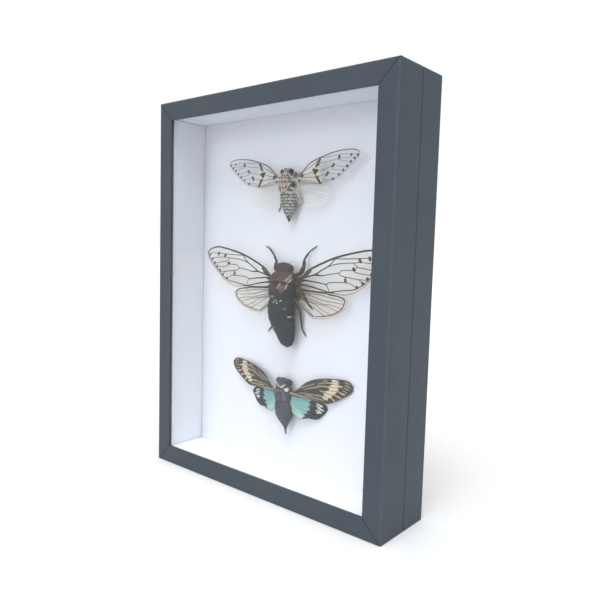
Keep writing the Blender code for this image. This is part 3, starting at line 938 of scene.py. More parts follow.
class Finish:
    """What every finish shares: a new material with one Principled shader and its nodes."""

    name: str

    def start(self) -> tuple[bpy.types.Material, Nodes, bpy.types.Node]:
        """Make the material and take its shader.

        Returns:
            The material, its nodes and the shader.
        """
        material = bpy.data.materials.new(self.name)
        material.use_nodes = True
        return material, Nodes(material.node_tree), material.node_tree.nodes["Principled BSDF"]

    @staticmethod
    def use(nodes: Nodes, group: bpy.types.NodeTree, values: dict) -> bpy.types.NodeSocket:
        """Place a shared effect in a material with these inputs.

        Args:
            nodes: The material's nodes.
            group: The effect.
            values: A value or a socket for each input, by name.

        Returns:
            The effect's output.
        """
        node = nodes.add("ShaderNodeGroup", None, node_tree=group)
        for name, value in values.items():
            if isinstance(value, bpy.types.NodeSocket):
                nodes.tree.links.new(value, node.inputs[name])
            else:
                node.inputs[name].default_value = value
        return node.outputs[0]

    def patches(
        self, nodes: Nodes, effects: Effects, scale: float, threshold: float, soft: float
    ) -> bpy.types.NodeSocket:
        """Where the piece has soft patches of one size."""
        values = {"Place": nodes.place(), "Scale": scale, "Threshold": threshold, "Soft": soft}
        return self.use(nodes, effects.mottle, values)

    def fibres(
        self, nodes: Nodes, effects: Effects, stretch: Triple, contrast: float
    ) -> bpy.types.NodeSocket:
        """Where the piece has fine grains or fibres, stretched by a vector."""
        values = {"Place": nodes.place(), "Stretch": stretch, "Contrast": contrast}
        return self.use(nodes, effects.grain, values)

    @staticmethod
    def bump(
        nodes: Nodes, shader: bpy.types.Node, height: bpy.types.NodeSocket, depth: float, strength: float
    ) -> None:
        """Give the shader a relief.

        Args:
            nodes: The material's nodes.
            shader: The shader.
            height: The relief's height, from 0 to 1.
            depth: How deep it is, in metres.
            strength: How much of it shows.
        """
        node = nodes.add("ShaderNodeBump", {"Height": height, "Distance": depth, "Strength": strength})
        nodes.link(node.outputs[0], shader, "Normal")


@dataclass(frozen=True)
class Lacquer(Finish):
    """Matte slate-grey lacquer: brush marks along the rail, a fine speckle and edges rubbed paler."""

    name: str
    colour: Colour
    speck: Colour
    worn: Colour
    grain: Grain

    def build(self, effects: Effects) -> bpy.types.Material:
        """Build the material.

        Args:
            effects: The shared node groups.

        Returns:
            The material.
        """
        material, nodes, shader = self.start()
        brushed = self.fibres(nodes, effects, stretch=self.grain.value, contrast=1.5)
        speckle = self.patches(nodes, effects, scale=2600.0, threshold=0.56, soft=0.16)
        cloud = self.patches(nodes, effects, scale=26.0, threshold=0.5, soft=0.7)
        rubbed = self.use(nodes, effects.rubbed, {"Place": nodes.place()})
        base = nodes.blend(nodes.math("MULTIPLY", brushed, 0.3), self.colour, self.speck)
        base = nodes.blend(nodes.math("MULTIPLY", speckle, 0.42), base, self.speck)
        base = nodes.blend(nodes.math("MULTIPLY", cloud, 0.16), base, self.worn)
        base = nodes.blend(nodes.math("MULTIPLY", rubbed, 0.4), base, self.worn)
        nodes.link(base, shader, "Base Color")
        nodes.link(nodes.ramp(speckle, (0.62, 0.5)), shader, "Roughness")
        height = nodes.math("MULTIPLY", nodes.math("ADD", brushed, speckle), 0.5)
        self.bump(nodes, shader, height, 0.00008, 0.5)
        shader.inputs["Specular IOR Level"].default_value = 0.35
        return material


@dataclass(frozen=True)
class Card(Finish):
    """White card with a faint felt of fibres."""

    name: str
    colour: Colour
    shade: Colour

    def build(self, effects: Effects) -> bpy.types.Material:
        """Build the material.

        Args:
            effects: The shared node groups.

        Returns:
            The material.
        """
        material, nodes, shader = self.start()
        felt = self.fibres(nodes, effects, stretch=(1500.0, 1500.0, 1500.0), contrast=1.2)
        cloud = self.patches(nodes, effects, scale=18.0, threshold=0.5, soft=0.8)
        base = nodes.blend(nodes.math("MULTIPLY", felt, 0.35), self.colour, self.shade)
        base = nodes.blend(nodes.math("MULTIPLY", cloud, 0.15), base, self.shade)
        nodes.link(base, shader, "Base Color")
        nodes.link(nodes.ramp(felt, (0.82, 0.95)), shader, "Roughness")
        self.bump(nodes, shader, felt, 0.00005, 0.35)
        return material


@dataclass(frozen=True)
class Hardboard(Finish):
    """Raw hardboard: brown felted fibres with darker flecks."""

    name: str
    colour: Colour
    fleck: Colour
    dust: Colour

    def build(self, effects: Effects) -> bpy.types.Material:
        """Build the material.

        Args:
            effects: The shared node groups.

        Returns:
            The material.
        """
        material, nodes, shader = self.start()
        fibre = self.fibres(nodes, effects, stretch=(700.0, 700.0, 1400.0), contrast=1.8)
        fleck = self.patches(nodes, effects, scale=900.0, threshold=0.6, soft=0.1)
        cloud = self.patches(nodes, effects, scale=30.0, threshold=0.5, soft=0.6)
        base = nodes.blend(fibre, self.colour, self.dust)
        base = nodes.blend(nodes.math("MULTIPLY", fleck, 0.7), base, self.fleck)
        base = nodes.blend(nodes.math("MULTIPLY", cloud, 0.3), base, self.fleck)
        nodes.link(base, shader, "Base Color")
        nodes.link(nodes.ramp(fibre, (0.75, 0.92)), shader, "Roughness")
        self.bump(nodes, shader, fibre, 0.00015, 0.8)
        return material


@dataclass(frozen=True)
class Steel(Finish):
    """Zinc-plated steel sheet: rolled streaks and dull patches."""

    name: str
    colour: Colour
    dull: Colour

    def build(self, effects: Effects) -> bpy.types.Material:
        """Build the material.

        Args:
            effects: The shared node groups.

        Returns:
            The material.
        """
        material, nodes, shader = self.start()
        rolled = self.fibres(nodes, effects, stretch=(90.0, 2500.0, 2500.0), contrast=1.6)
        cloud = self.patches(nodes, effects, scale=420.0, threshold=0.52, soft=0.3)
        base = nodes.blend(nodes.math("MULTIPLY", cloud, 0.6), self.colour, self.dull)
        nodes.link(nodes.blend(nodes.math("MULTIPLY", rolled, 0.4), base, self.dull), shader, "Base Color")
        nodes.link(nodes.ramp(cloud, (0.26, 0.48)), shader, "Roughness")
        shader.inputs["Metallic"].default_value = 1.0
        self.bump(nodes, shader, rolled, 0.00004, 0.5)
        return material


@dataclass(frozen=True)
class Glass(Finish):
    """Clear picture glass, which lets the lamps' light through to what lies behind it."""

    name: str
    colour: Colour
    refraction: float = 1.32

    def build(self, effects: Effects) -> bpy.types.Material:
        """Build the material.

        Args:
            effects: The shared node groups.

        Returns:
            The material.
        """
        material, nodes, shader = self.start()
        smear = self.patches(nodes, effects, scale=28.0, threshold=0.58, soft=0.5)
        nodes.link(nodes.ramp(smear, (0.0, 0.015)), shader, "Roughness")
        shader.inputs["Base Color"].default_value = (*self.colour, 1)
        shader.inputs["Transmission Weight"].default_value = 1.0
        shader.inputs["IOR"].default_value = self.refraction
        clear = nodes.add("ShaderNodeBsdfTransparent", {0: (0.93, 0.94, 0.95, 1)})
        shadow = nodes.add("ShaderNodeLightPath").outputs["Is Shadow Ray"]
        mix = nodes.add("ShaderNodeMixShader", {0: shadow, 1: shader.outputs[0], 2: clear.outputs[0]})
        nodes.tree.links.new(mix.outputs[0], material.node_tree.nodes["Material Output"].inputs[0])
        return material


@dataclass(frozen=True)
class Chitin(Finish):
    """The dry skin of a body: a ground colour under a tint, warm on two insects and a painted lilac
    sheen on the third, pale patches and dark marks, with fine pits and a dull shine."""

    name: str
    ground: Colour
    shade: Colour
    glow: Colour
    pale: Colour
    mark: Colour
    roughness: float

    def build(self, effects: Effects) -> bpy.types.Material:
        """Build the material.

        Args:
            effects: The shared node groups.

        Returns:
            The material.
        """
        material, nodes, shader = self.start()
        cloud = self.patches(nodes, effects, scale=700.0, threshold=0.5, soft=0.35)
        pits = self.fibres(nodes, effects, stretch=(4200.0, 4200.0, 4200.0), contrast=1.6)
        base = nodes.blend(nodes.math("MULTIPLY", cloud, 0.6), self.ground, self.shade)
        layers = ((Channel.GLOW, self.glow), (Channel.MARK, self.mark), (Channel.PALE, self.pale))
        for channel, colour in layers:
            base = nodes.blend(nodes.mask(channel.value), base, colour)
        base = nodes.blend(nodes.math("MULTIPLY", pits, 0.35), base, self.shade)
        nodes.link(base, shader, "Base Color")
        dullness = (self.roughness - 0.1, self.roughness + 0.15)
        nodes.link(nodes.ramp(pits, dullness), shader, "Roughness")
        shader.inputs["Specular IOR Level"].default_value = 0.3
        self.bump(nodes, shader, pits, 0.0001, 0.55)
        return material


@dataclass(frozen=True)
class Horn(Finish):
    """Veins, legs and eyes: dark horn that pales where the fade mask says so."""

    name: str
    colour: Colour
    faded: Colour
    roughness: float

    def build(self, effects: Effects) -> bpy.types.Material:
        """Build the material.

        Args:
            effects: The shared node groups.

        Returns:
            The material.
        """
        material, nodes, shader = self.start()
        pits = self.fibres(nodes, effects, stretch=(3000.0, 3000.0, 3000.0), contrast=1.4)
        base = nodes.blend(nodes.mask("fade"), self.colour, self.faded)
        base = nodes.blend(nodes.math("MULTIPLY", pits, 0.25), base, self.faded)
        nodes.link(base, shader, "Base Color")
        nodes.link(nodes.ramp(pits, (self.roughness, self.roughness + 0.2)), shader, "Roughness")
        shader.inputs["Specular IOR Level"].default_value = 0.35
        self.bump(nodes, shader, pits, 0.00006, 0.4)
        return material


@dataclass(frozen=True)
class Film(Finish):
    """Wing membrane: how it is coloured and how much it covers, on its clear ground and under each
    mask, each as red, green, blue and cover."""

    name: str
    clear: Tint
    glow: Tint
    mark: Tint
    pale: Tint

    def build(self, effects: Effects) -> bpy.types.Material:
        """Build the material.

        Args:
            effects: The shared node groups.

        Returns:
            The material.
        """
        material, nodes, shader = self.start()
        cloud = self.patches(nodes, effects, scale=260.0, threshold=0.5, soft=0.5)
        crepe = self.fibres(nodes, effects, stretch=(2400.0, 2400.0, 2400.0), contrast=1.5)
        colour, cover = self.clear[:3], self.clear[3]
        layers = ((Channel.GLOW, self.glow), (Channel.MARK, self.mark), (Channel.PALE, self.pale))
        for channel, (red, green, blue, share) in layers:
            mask = nodes.mask(channel.value)
            colour = nodes.blend(mask, colour, (red, green, blue))
            cover = nodes.between(mask, cover, share)
        deeper = nodes.add("ShaderNodeHueSaturation", {"Value": 0.72, "Color": colour}).outputs[0]
        colour = nodes.blend(nodes.math("MULTIPLY", cloud, 0.35), colour, deeper)
        colour = nodes.blend(nodes.math("MULTIPLY", crepe, 0.3), colour, deeper)
        nodes.link(colour, shader, "Base Color")
        nodes.link(nodes.math("MULTIPLY", cover, nodes.ramp(crepe, (0.88, 1.0))), shader, "Alpha")
        nodes.link(nodes.ramp(cloud, (0.28, 0.5)), shader, "Roughness")
        self.bump(nodes, shader, crepe, 0.00005, 0.4)
        return material


@dataclass(frozen=True)
class Cicada:
    """One insect: its parts, its place on the board and its finishes."""

    name: str
    slot: str
    across: float
    head_level: float
    right_turn: float
    body: Body
    head: Head
    forewing: Wing
    hindwing: Wing
    legs: tuple[Leg, ...]
    skin: Chitin
    horn: Horn
    lens: Horn
    fore_film: Film
    hind_film: Film

    def build(self, effects: Effects, board: float) -> list[bpy.types.Object]:
        """Build every piece of the insect, in place of its solid.

        Args:
            effects: The shared node groups.
            board: The face of the board, in metres.

        Returns:
            The pieces.
        """
        place = Place(self.across, self.head_level, board)
        horn = self.horn.build(effects)
        films = {
            self.forewing.name: self.fore_film.build(effects),
            self.hindwing.name: self.hind_film.build(effects),
        }
        pieces = [
            self.body.shell().finish(f"{self.name}_body", place, self.skin.build(effects), True),
            self.head.eyes().finish(f"{self.name}_eyes", place, self.lens.build(effects), True),
        ]
        limbs = Shape()
        for leg in self.legs:
            leg.add(limbs)
        self.head.add_feelers(limbs)
        pieces.append(limbs.finish(f"{self.name}_legs", place, horn, True))
        veins = Shape()
        for side in Side:
            for wing in (self.forewing, self.hindwing):
                sheet = wing.membrane(side, self.right_turn)
                name = f"{self.name}_{side.name.lower()}_{wing.name}"
                piece = sheet.finish(name, place, films[wing.name], False)
                thickness = piece.modifiers.new("thickness", "SOLIDIFY")
                thickness.thickness = FILM_THICKNESS * MM
                thickness.offset = 0.0
                pieces.append(piece)
                wing.add_veins(veins, side, self.right_turn)
        pieces.append(veins.finish(f"{self.name}_veins", place, horn, True))
        for piece in pieces:
            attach(piece, "root")
            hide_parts(self.name)
            LOG.info("%s: %d faces", piece.name, len(piece.data.polygons))
        return pieces


Part = TypeVar("Part", Marking, Ridge, Leg)


def both_sides(part: Part) -> tuple[Part, Part]:
    """A marking, a ridge or a leg, and its mirror image across the insect's middle."""
    return part, replace(part, points=tuple((-point[0], *point[1:]) for point in part.points))


def spots(
    channel: Channel, reach: float, *points: tuple[float, float], soft: float = 0.4
) -> tuple[Marking, ...]:
    """A round spot of one size at each point."""
    return tuple(Marking(channel, (point,), reach, soft) for point in points)


def strokes(channel: Channel, reach: float, *lines: Points, soft: float = 0.35) -> tuple[Marking, ...]:
    """A stroke of one width along each line."""
    return tuple(Marking(channel, line, reach, soft) for line in lines)


def rays(thick: float, thin: float, fade: tuple[float, float], *lines: Points) -> tuple[Vein, ...]:
    """A vein of one kind along each line."""
    return tuple(Vein(line, thick, thin, fade) for line in lines)


def dark_cicada() -> Cicada:
    """The large brown-black cicada with clear wings, spotted along their outer edge.

    Returns:
        The insect, with its sizes and finishes.
    """
    forewing = Wing(
        name="forewing",
        front=((5, -10.6), (13, -9.1), (18.3, -4.7), (28.3, -0.2), (40.3, 4.0), (57, 7.4), (65, 7.9),
               (71.8, 5.9), (74.4, 3.0)),
        rear=((5, -15.5), (17.5, -17.2), (28.8, -17.8), (37, -17.6), (45, -18.2), (50, -17.2), (57, -14.3),
              (68.7, -4.8), (73, 0), (74.4, 3.0)),
        root=9.8, height=6.9, droop=0.6, arch=0.7, pleats=0.0, rim=(0.78, 0.22, 0.0, 0.6),
        veins=rays(
            0.3, 0.2, (0.0, 0.08),
            ((38.5, 2.9), (46, 3.0), (54, 3.3), (62, 3.6), (68, 3.7), (72, 3.4)),
            ((33.3, -1.9), (37.1, -0.8), (41.3, 0.0), (46.2, 0.4), (51.5, 0.7), (55.8, 1.0), (62.6, 0.8),
             (70.2, -0.4)),
            ((51.5, 0.7), (52.8, -0.4), (54.8, -1.7), (58.4, -2.2), (62.7, -3.0), (67.6, -3.6)),
            ((54.2, -1.5), (53.0, -2.8), (52.0, -3.7)),
            ((30, -7.4), (34.8, -6.4), (41.1, -5.5), (43.5, -4.0), (47.2, -3.6), (51.3, -3.6),
             (53.4, -4.7), (57.4, -5.4), (65.2, -6.2)),
            ((41.1, -5.5), (43.2, -6.9), (45.7, -7.5), (50.7, -8.1), (55.5, -8.7), (62.4, -8.9)),
            ((55.5, -8.7), (57.4, -10.0), (59.2, -11.8)),
            ((46.2, -7.6), (46.4, -9.2), (46.6, -10.9)),
            ((32.4, -12.6), (35, -11.3), (40.1, -11.0), (45.9, -10.9), (50, -11.5), (55.2, -14.0)),
            ((32.4, -12.6), (33.6, -14.4), (34.7, -16.8)),
        ) + rays(
            0.32, 0.3, (0.05, 0.05),
            ((35.5, -17.0), (43.6, -15.8), (49.4, -15.2), (53, -14.5), (55.7, -13.3), (58.7, -11.6),
             (61.7, -9.1), (64.7, -6.5), (67.7, -3.9), (70.4, -1.3), (72.3, 1.1), (73.6, 3.4)),
        ) + rays(
            0.7, 0.32, (0.0, 0.03),
            ((7, -11.8), (10, -11.0), (14.4, -9.4), (18.5, -8.3), (23.8, -7.0), (28.6, -4.3), (33.3, -1.8),
             (35.8, 0.2), (38.5, 3.0)),
            ((23.8, -7.0), (26.8, -7.3), (30, -7.4)),
            ((7, -12.6), (10, -12.0), (14.9, -10.8), (20.9, -11.1), (28, -11.9), (32.4, -12.6)),
            ((7, -13.4), (12.7, -13.4), (17.3, -13.8), (24.1, -15.0), (29.1, -16.1), (35, -17.3)),
            ((7, -14.6), (14.7, -16.3), (17, -16.9), (22, -17.2), (28.2, -17.4), (38, -17.4)),
        ),
        markings=(
            Marking(Channel.GLOW, ((36, -18.5), (44, -16.2), (52, -15.0), (57, -12.8), (64, -7.2),
                                   (70, -2.0), (73.6, 2.4)), 1.5, 3.0),
            Marking(Channel.GLOW, ((45, -14), (60, -6), (70, 3)), 4.5, 9.0, strength=0.4),
            Marking(Channel.MARK, ((5, -10), (11, -10.2), (16.5, -7.0), (20.5, -3.6), (21.0, -5.0),
                                   (17.5, -8.6), (14.5, -10.2), (17.0, -11.0), (13, -12.6), (17.5, -13.6),
                                   (12.5, -14.6), (15.5, -16.2), (5, -16.4)), 0.0, 1.0, area=True),
            Marking(Channel.MARK, ((36.4, 2.8), (40.4, 4.0)), 0.6, 0.5),
        )
        + spots(Channel.MARK, 0.98, (71.2, 2.5), (69.0, -0.5), (66.5, -3.0), (64.0, -5.5), (61.3, -8.1),
                (58.2, -10.8), (54.2, -13.3))
        + strokes(Channel.MARK, 0.86, ((62.3, 3.9), (62.7, 2.7)), ((55.5, 2.7), (56.4, 1.6)),
                  ((51.6, -2.6), (52.5, -3.3)), ((46.2, -9.2), (46.4, -10.1))),
    )
    hindwing = Wing(
        name="hindwing",
        front=((5, -17), (17, -17.6), (30.6, -18.2), (39, -19), (44.5, -20.4), (47, -22.6)),
        rear=((6, -23), (15.5, -30), (21.4, -33.8), (27.5, -33.7), (34, -32.7), (43.8, -28), (46.4, -24.6),
              (47, -22.6)),
        root=9.8, height=6.1, droop=0.6, arch=0.5, pleats=0.16, rim=(0.3, 0.14, 0.1, 0.8),
        veins=rays(
            0.24, 0.17, (0.06, 0.25),
            ((12, -18.6), (18.9, -18.9), (26.5, -19.1), (35.3, -20.6), (44.4, -21.9)),
            ((12, -19.4), (19.4, -19.9), (27.5, -22.1), (31.9, -22.6), (45.2, -23.8)),
            ((12, -20.2), (21, -22.4), (29.4, -24.5), (35.5, -24.9), (43.6, -26.4)),
            ((12, -21), (20, -23.4), (27.6, -25), (33, -26), (40.6, -28.6)),
            ((12, -21.8), (18, -23.6), (24.1, -25.3), (28.7, -28), (36, -30.9)),
            ((11, -22), (14.8, -23.2), (22.4, -27.2), (31, -31.8)),
            ((10.5, -22.6), (13.6, -25.2), (18.6, -29.2), (23, -33.2)),
        ) + rays(
            0.5, 0.36, (0.0, 0.05),
            ((8.2, -23.4), (13.2, -26.8), (19.3, -31.2), (23.2, -33.2)),
        ) + rays(
            0.4, 0.3, (0.02, 0.15),
            ((33.5, -18.7), (38.7, -19.2), (42.1, -19.8), (44.5, -21.0), (45.4, -22.8), (44.3, -25.6),
             (41.6, -28.0), (38.2, -29.9), (34.5, -31.2), (29.6, -32.1), (24, -32.8)),
        ),
        markings=(
            Marking(Channel.GLOW, ((30, -33), (38, -30.5), (44, -26.8), (45.8, -23)), 1.8, 4.0),
            Marking(Channel.GLOW, ((27, -20.5), (38, -26), (30, -31)), 3.5, 8.0, strength=0.35),
            Marking(Channel.MARK, ((6, -17), (12.6, -18.4), (13.6, -20.6), (11.2, -24.5), (7, -24)), 0.0,
                    1.6, area=True),
        ),
        rows=130, columns=64,
    )
    body = Body(
        start=0.2, length=54.5, thorax=26, half_width=11.1, half_height=6.2, middle=7.2, abdomen=10.4,
        spine=((0, -1.35), (8, -1.35), (18, -1.9), (25, -2.8), (32, -3.2), (37, -2.6), (41.4, -1.2),
               (46.8, 0.7), (52.4, 1.65), (54.5, 2.1)),
        taper=((0, 0.98), (0.15, 1.0), (0.37, 0.96), (0.54, 0.88), (0.73, 0.69), (0.84, 0.56),
               (0.925, 0.43), (0.94, 0.36), (0.955, 0.26), (0.975, 0.15), (1, 0.04)),
        bands=0.0,
        relief=(
            Ridge(((-9, -12.7), (-4, -12.0), (0, -11.8), (4, -12.0), (9, -12.7)), 0.3, 0.8, 0.4),
            Ridge(((-8.6, -14.1), (-5.1, -13.1), (0, -12.6), (5.1, -13.1), (8.6, -14.1)), 0.2, 0.6, -0.45),
            *both_sides(Ridge(((-1.4, -7.2), (-3.6, -9.4), (-6.8, -10.2)), 0.2, 0.8, -0.4)),
            *both_sides(Ridge(((-3.0, -7.0), (-6.4, -8.4)), 0.2, 0.7, -0.3)),
            Ridge(((0, -6.8), (0, -11.2)), 0.4, 1.4, 0.3),
            Ridge(((0, -0.6), (0, -5.4)), 0.15, 0.6, -0.3),
            Ridge(((-3.0, -21.2), (0, -22.9), (3.0, -21.2)), 0.4, 0.8, 0.7),
            Ridge(((-3.0, -24.9), (0, -22.9), (3.0, -24.9)), 0.4, 0.8, 0.7),
            *both_sides(Ridge(((-2.2, -13.4), (-0.9, -17.2), (-1.6, -20.4)), 0.15, 0.6, -0.3)),
            *both_sides(Ridge(((-6.8, -14.4), (-6.6, -18.0), (-4.4, -21)), 0.2, 0.7, -0.3)),
        ),
        markings=(
            Marking(Channel.GLOW, ((-8, -1), (8, -1), (9, -12.6), (-9, -12.6)), 0.0, 2.5, area=True,
                    strength=0.42),
            Marking(Channel.GLOW, ((2.0, -13.8), (6.0, -14.0), (6.4, -16.6), (4.6, -19.4), (2.4, -18.0),
                                   (1.6, -15.6)), 0.0, 1.2, area=True),
            Marking(Channel.GLOW, ((-2.0, -13.8), (-6.0, -14.0), (-6.2, -16.6), (-4.4, -18.6),
                                   (-2.2, -17)), 0.0, 2.0, area=True, strength=0.35),
            Marking(Channel.GLOW, ((-7, -11.4), (0, -11.0), (7, -11.4)), 0.5, 1.2, strength=0.7),
        )
        + strokes(Channel.PALE, 0.24, ((2.2, -12.9), (1.4, -14.6), (0.9, -16.6)), soft=0.7)
        + strokes(Channel.PALE, 0.26, ((6.4, -13.7), (6.9, -15.0), (6.6, -16.6)),
                  ((7.6, -12.7), (8.4, -11.8), (8.8, -10.6)), soft=0.6)
        + (
            Marking(Channel.PALE, ((6.0, -11.2), (7.4, -9.8), (7.8, -8.4)), 0.5, 1.6, strength=0.55),
            Marking(Channel.MARK, ((-8.4, -13.6), (-5.1, -12.7), (0, -12.1), (5.1, -12.7), (8.4, -13.6)),
                    0.22, 0.5),
            # The abdomen in the near-black mark colour, whose blue cast is a painted reflection.
            Marking(Channel.MARK, ((-12, -26), (12, -26), (12, -56), (-12, -56)), 0.0, 3.0, area=True),
            Marking(Channel.MARK, ((-9, -14), (-4.5, -19), (0, -20.5), (4.5, -20), (9, -14), (9, -27),
                                   (-9, -27)), 0.0, 2.5, area=True, strength=0.7),
        )
        + spots(Channel.PALE, 0.55, (-4.6, -22.0), (-1.9, -21.8), (-0.5, -24.4), (-2.2, -25.5),
                (0.9, -25.9), (3.6, -24.2), soft=0.5)
        + spots(Channel.MARK, 0.6, (-3.2, -3.2), (3.2, -3.2), (0, -1.4), soft=1.0)
        + strokes(Channel.PALE, 0.16, ((6.0, -29.3), (7.6, -29.3)), soft=0.4)
        # Two pale specks on the abdomen: painted highlights.
        + spots(Channel.PALE, 0.5, (8.5, -34.3), (9.2, -34.2), soft=0.4),
    )
    legs = (
        Leg(((-4, -9, 5, 1.0), (-10.8, -2.8, 5, 1.15), (-9.8, -0.3, 4.8, 0.85), (-14.0, 4.5, 3.2, 0.62),
             (-20.1, 8.6, 1.4, 0.42), (-23, 9.2, 1.0, 0.36)), 3),
        Leg(((4, -9, 5, 1.0), (10.9, -6.7, 5, 1.4), (12.8, -2.7, 4.8, 1.35), (12.1, 2.3, 3.4, 0.7),
             (14.7, 7.1, 1.6, 0.42), (19.5, 10.3, 1.0, 0.36)), 3),
        Leg(((-6, -15, 4, 1.0), (-12, -17.6, 3.4, 0.9), (-11.4, -24.4, 1.8, 0.58), (-13, -28, 1.0, 0.4)),
            4),
        Leg(((6, -15, 4.6, 1.0), (13.8, -18.4, 6.9, 0.85), (19, -25.4, 6.7, 0.58), (22, -28, 6.3, 0.42)),
            4),
        Leg(((-5, -22, 4, 1.0), (-10.6, -30.6, 3.2, 0.85), (-15, -42.5, 1.6, 0.55),
             (-19.4, -46.6, 1.0, 0.38)), 6),
        Leg(((4, -22, 4, 1.0), (9.6, -30.6, 3.2, 0.85), (10.1, -42, 1.6, 0.55), (12.8, -46.3, 1.0, 0.38)),
            6),
    )
    return Cicada(
        name="cicada_dark", slot="dark_insect", across=2.45, head_level=145.6, right_turn=1.0,
        body=body, head=Head(eye=2.3, reach=7.8, across=-1.3, down=3.9, middle=7.6, top=10.35),
        forewing=forewing, hindwing=hindwing, legs=legs,
        skin=Chitin(
            "dark_skin", ground=(0.034, 0.026, 0.025), shade=(0.011, 0.01, 0.011),
            # The mark colour, which covers the abdomen, is near-black with a blue cast that is a painted
            # reflection.
            glow=(0.15, 0.083, 0.064), pale=(0.62, 0.54, 0.42), mark=(0.0115, 0.0155, 0.024), roughness=0.46,
        ),
        horn=Horn("dark_horn", (0.02, 0.0135, 0.011), (0.26, 0.165, 0.08), 0.45),
        lens=Horn("dark_eyes", (0.024, 0.018, 0.018), (0.11, 0.035, 0.02), 0.22),
        fore_film=Film(
            "dark_forewing_film", clear=(0.95, 0.82, 0.55, 0.055), glow=(0.86, 0.6, 0.26, 0.19),
            mark=(0.022, 0.015, 0.012, 0.92), pale=(0.8, 0.75, 0.6, 0.5),
        ),
        hind_film=Film(
            "dark_hindwing_film", clear=(0.92, 0.76, 0.46, 0.1), glow=(0.88, 0.64, 0.3, 0.22),
            mark=(0.022, 0.015, 0.012, 0.92), pale=(0.8, 0.75, 0.6, 0.5),
        ),
    )


